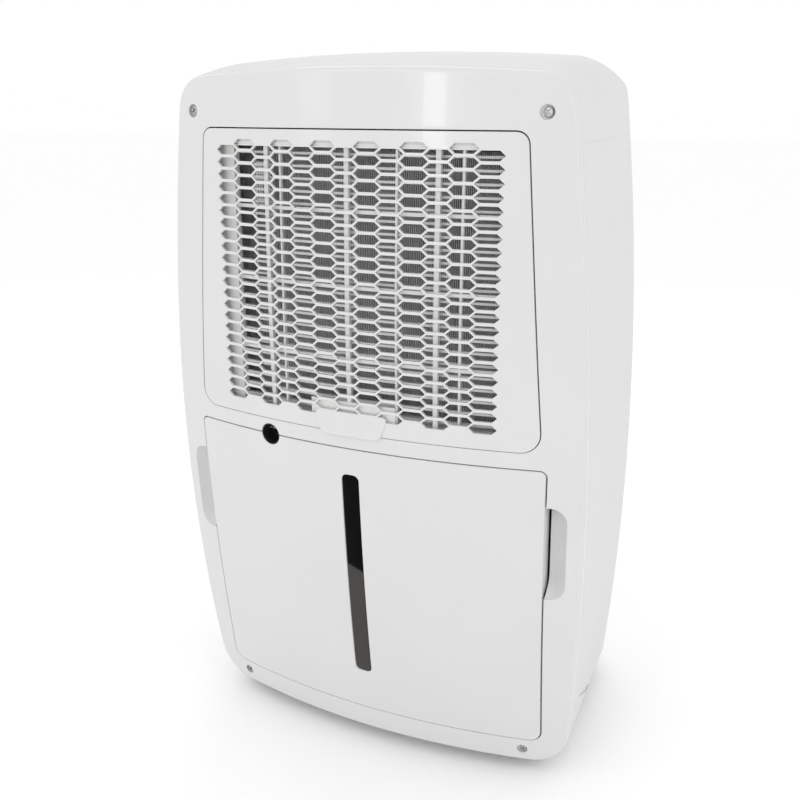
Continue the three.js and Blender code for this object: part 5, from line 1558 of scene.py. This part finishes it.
# %% Model the spigot
def turned(profile, steps=32):
    """A round piece: a profile of (radius, height) pairs spun about Z."""
    bm = bmesh.new()
    verts = chain(bm, [(radius, 0, height) for radius, height in profile])
    bmesh.ops.spin(bm, geom=verts + bm.edges[:], cent=(0, 0, 0), axis=(0, 0, 1), angle=math.tau, steps=steps,
                   use_merge=True)
    return clean(bm)


spigot_low, spigot_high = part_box("drain_spigot")
spigot_middle = (spigot_low + spigot_high) / 2
spigot_radius = (spigot_high.x - spigot_low.x) / 2
spigot_length = spigot_high.y - spigot_low.y
bead = 0.7 * mm
tube = spigot_radius - bead
bore = tube - 1.1 * mm
profile = [(bore, spigot_length), (bore, 0.5 * mm), (bore + 0.4 * mm, 0), (tube - 0.4 * mm, 0),
           (tube, 0.5 * mm), (tube, 1.8 * mm), (spigot_radius, 2.8 * mm), (tube, 4 * mm),
           (tube, spigot_length), (bore, spigot_length)]
spigot = turned(profile, 40)
moved(spigot, Matrix.Translation((spigot_middle.x, spigot_low.y, spigot_middle.z)), facing_in)
piece(spigot, "hose_spigot", "cabinet", black, ["drain_spigot"], corner=40)

# %% Model the sleeve
sleeve_front = 0.9 * mm
sleeve_length = 16 * mm
sleeve_floor = 15 * mm
sleeve_bore = 5 * mm
sleeve_outside = outlet_radius - 0.2 * mm
sleeve_inside = sleeve_outside - 0.6 * mm
sleeve = turned([(sleeve_outside, 0), (sleeve_inside, 0), (sleeve_inside, sleeve_floor),
                 (sleeve_bore, sleeve_floor), (sleeve_bore, sleeve_length), (sleeve_outside, sleeve_length),
                 (sleeve_outside, 0)], 40)
moved(sleeve, Matrix.Translation((outlet_x, sleeve_front, outlet_z)), facing_in)
bend_onto_face(sleeve)
piece(sleeve, "outlet_sleeve", "cabinet", black, corner=40)

# %% [markdown]
# ## The controls
#
# On the tilted plate sit three round keys, a small dark display and two more keys. The plate is a rounded
# slab with sunk key wells; the keys are spun with a shallow dish for the fingertip.

# %% Model the control plate
plate_top = -3.2 * mm
plate_wall = 2.4 * mm
key_places = {"button_power": -80 * mm, "button_fan_speed": -56 * mm, "button_timer": -32 * mm,
              "button_drier": 56 * mm, "button_wetter": 80 * mm}
key_well_radius = 8 * mm
key_well_depth = 1.5 * mm
hole_margin = 1 * mm
display_x = 12 * mm
display_half_width = 22 * mm
display_half_length = 11 * mm
display_corner = 2 * mm
display_depth = 1.2 * mm


def is_plate_top(face):
    return face.normal.z > 0.9 and abs(face.calc_center_median().z) < 0.01 * mm


def open_plate(low, high, outline):
    """Opens a hole in the plate's top, which needs a small margin round its lowest and highest corner."""
    low = (low[0] - hole_margin, low[1] - hole_margin)
    high = (high[0] + hole_margin, high[1] + hole_margin)
    return open_hole(controls, (0, 1), low, high, lying(outline), is_plate_top)


controls = bmesh.new()
controls.faces.new([controls.verts.new(point) for point in lying(control_outline(-0.15 * mm))])
thicken(controls, (0, 0, -plate_wall))
for across in key_places.values():
    low = (across - key_well_radius, -key_well_radius)
    high = (across + key_well_radius, key_well_radius)
    rim = open_plate(low, high, circle(key_well_radius, 40, (across, 0)))
    bottom = Vector((across, 0, -8 * mm))
    lip = grow(controls, rim, [vert.co + (bottom - vert.co) * 0.06 for vert in rim], closed=True)
    sink(controls, lip, (0, 0, -key_well_depth))
display_low = (display_x - display_half_width, -display_half_length)
display_high = (display_x + display_half_width, display_half_length)
rim = open_plate(display_low, display_high, rectangle(display_low, display_high, display_corner))
sink(controls, rim, (0, 0, -display_depth))
clean(controls)
moved(controls, control_frame, Matrix.Translation((0, 0, plate_top)))
piece(controls, "control_plate", "cabinet", inner_grey, ["control_fascia"], corner=30)

# %% Model the keys
key_radius = 6.95 * mm
key_foot = -0.6 * mm
key_profile = [(0, 0.35 * mm), (2.5 * mm, 0.42 * mm), (4.4 * mm, 0.7 * mm), (5.6 * mm, 0.95 * mm),
               (6.3 * mm, 0.95 * mm), (6.75 * mm, 0.7 * mm), (key_radius, 0.2 * mm), (key_radius, key_foot),
               (0, key_foot)]
for name, across in key_places.items():
    key = moved(turned(key_profile, 48), control_frame, Matrix.Translation((across, 0, plate_top)))
    piece(key, "key_" + name.replace("button_", ""), name, satin_white, [name], corner=50)

# %% Model the display
display_gap = 0.25 * mm
display_wall = 1.1 * mm
display_round = 0.3 * mm
wide = display_half_width - display_gap
long = display_half_length - display_gap
glass_outline = rectangle((-wide, -long), (wide, long), display_corner - 0.2 * mm)
glass = bmesh.new()
glass.faces.new([glass.verts.new(point) for point in lying(glass_outline)])
thicken(glass, (0, 0, -display_wall))
top_rim = [edge for edge in glass.edges if all(vert.co.z > -0.1 * mm for vert in edge.verts)]
soften(glass, top_rim, display_round, 2)
moved(glass, control_frame, Matrix.Translation((display_x, 0, plate_top)))
piece(glass, "display_glass", "cabinet", window_finish, ["display_lens"], corner=30)

# %% [markdown]
# ## The air outlet at the back
#
# The dried air leaves through a louvre. Each slat is a bar turned about its own length, so that dust and
# fingers are kept out while the air is led upwards. Three posts stop the slats from fluttering.

# %% Model the louvre
louvre_gap = 0.2 * mm
louvre_half = exhaust_high.x - louvre_gap
louvre_low = exhaust_low.z + louvre_gap
louvre_high = exhaust_high.z - louvre_gap
louvre_front, louvre_back = exhaust_low.y, exhaust_high.y
rim_width = 7 * mm
rim_round = 0.8 * mm


def louvre_outline(inset):
    low = (inset - louvre_half, louvre_low + inset)
    high = (louvre_half - inset, louvre_high - inset)
    return rectangle(low, high, max(exhaust_corner - inset, 2 * mm))


louvre = bmesh.new()
rim_profile = [(0, louvre_front), (0, louvre_back - rim_round), (rim_round, louvre_back),
               (rim_width - rim_round, louvre_back), (rim_width, louvre_back - rim_round),
               (rim_width, louvre_front), (0, louvre_front)]
loft(louvre, [standing(louvre_outline(inset), depth) for inset, depth in rim_profile], closed=True)
clean(louvre)
print("faces in the louvre's rim:", len(louvre.faces))

# %% Add the slats and the posts
slat_count = 19
slat_tilt = math.radians(32)
slat_end = louvre_half - 6.5 * mm
slat_half_depth = 2.7 * mm
slat_half_wall = 0.6 * mm
slat_room = louvre_high - louvre_low - 2 * rim_width
slat_round = 0.4 * mm
post_half = 1.2 * mm
post_places = (-50 * mm, 0, 50 * mm)
post_end = 6 * mm

for slat in range(slat_count):
    height = louvre_low + rim_width + slat_room * (slat + 0.5) / slat_count
    blade = bmesh.new()
    bar(blade, (-slat_end, -slat_half_depth, -slat_half_wall), (slat_end, slat_half_depth, slat_half_wall))
    soften(blade, blade.edges[:], slat_round, 2)
    moved(blade, Matrix.Translation((0, (louvre_front + louvre_back) / 2, height)),
          Matrix.Rotation(slat_tilt, 4, "X"))
    join(louvre, blade)
for across in post_places:
    bar(louvre, (across - post_half, louvre_front + 0.6 * mm, louvre_low + post_end),
        (across + post_half, louvre_back - 1.2 * mm, louvre_high - post_end))
piece(louvre, "outlet_louvre", "cabinet", satin_white, ["exhaust_grille"], corner=40)

# %% [markdown]
# ## The lead's bush and the casters
#
# The mains lead enters through a stepped bush low on the back. The wheels are spun as well: a soft tread
# with rounded shoulders, a dished web and a hub. Each wheel turns on its own body, in a fork whose shape is
# right.

# %% Model the bush
bush_depth = inlet_high.y - inlet_low.y
bush_bore = 4.2 * mm
bush_neck = 7.6 * mm
bush_flange = 10.4 * mm
bush = turned([(bush_bore, bush_depth), (bush_bore, 0.8 * mm), (4.8 * mm, 0), (6.6 * mm, 0),
               (7.4 * mm, 0.5 * mm), (7.7 * mm, 1.2 * mm), (7.9 * mm, 2.4 * mm), (bush_flange, 2.8 * mm),
               (bush_flange, 4.6 * mm), (bush_neck, 4.8 * mm), (bush_neck, bush_depth),
               (bush_bore, bush_depth)], 48)
moved(bush, Matrix.Translation((inlet.x, inlet_high.y, inlet.z)), facing_out)
piece(bush, "lead_bush", "cabinet", black, ["cord_inlet"], corner=35)

# %% Model the four wheels
def wheel_profile(reach, radius):
    """Half of the profile, from the stub axle's end out to the tread, and its mirror image back."""
    face = -5.5 * mm
    web = face + 1.6 * mm
    half = [(0, -reach), (2 * mm, -reach), (2 * mm, face), (4.2 * mm, face), (4.6 * mm, face + 0.5 * mm),
            (5 * mm, web), (9.6 * mm, web), (10 * mm, face + 0.4 * mm), (12.4 * mm, face),
            (13.4 * mm, face + 0.5 * mm), (radius - 0.15 * mm, web), (radius, -1.2 * mm)]
    return half + [(across, -up) for across, up in reversed(half)]


for corner in ("front_left", "front_right", "rear_left", "rear_right"):
    node = "caster_wheel_" + corner
    low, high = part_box(node)
    wheel = turned(wheel_profile((high.x - low.x) / 2, (high.z - low.z) / 2), 48)
    moved(wheel, Matrix.Translation((low + high) / 2), Matrix.Rotation(math.pi / 2, 4, "Y"))
    piece(wheel, "tread_" + corner, "wheel_" + corner, rubber, [node], corner=35)

# %% [markdown]
# ## Finishes for the parts that keep their shape
#
# The parts inside, such as the compressor, the tank and the fan, keep the shapes of the frame. Each takes
# the finish of its slot in the record, so that what can be seen with the door open or the bucket out is as
# finished as the face.

# %% Give every carried-over part its finish
finishes = (white, satin_white, inner_grey, window_finish, black, foam, rubber, steel, enamel, aluminium,
            copper, board)
finish_of_slot = {finish.slot: finish for finish in finishes}
slot_of_node = {row["node"]: row["material_slot"] for row in frame["record"]["subparts"]}
for name, part in nodes.items():
    part.data.materials.clear()
    part.data.materials.append(finish_of_slot[slot_of_node[name]].material)
print("parts that keep their shape:", sum(not part.hide_render for part in nodes.values()))
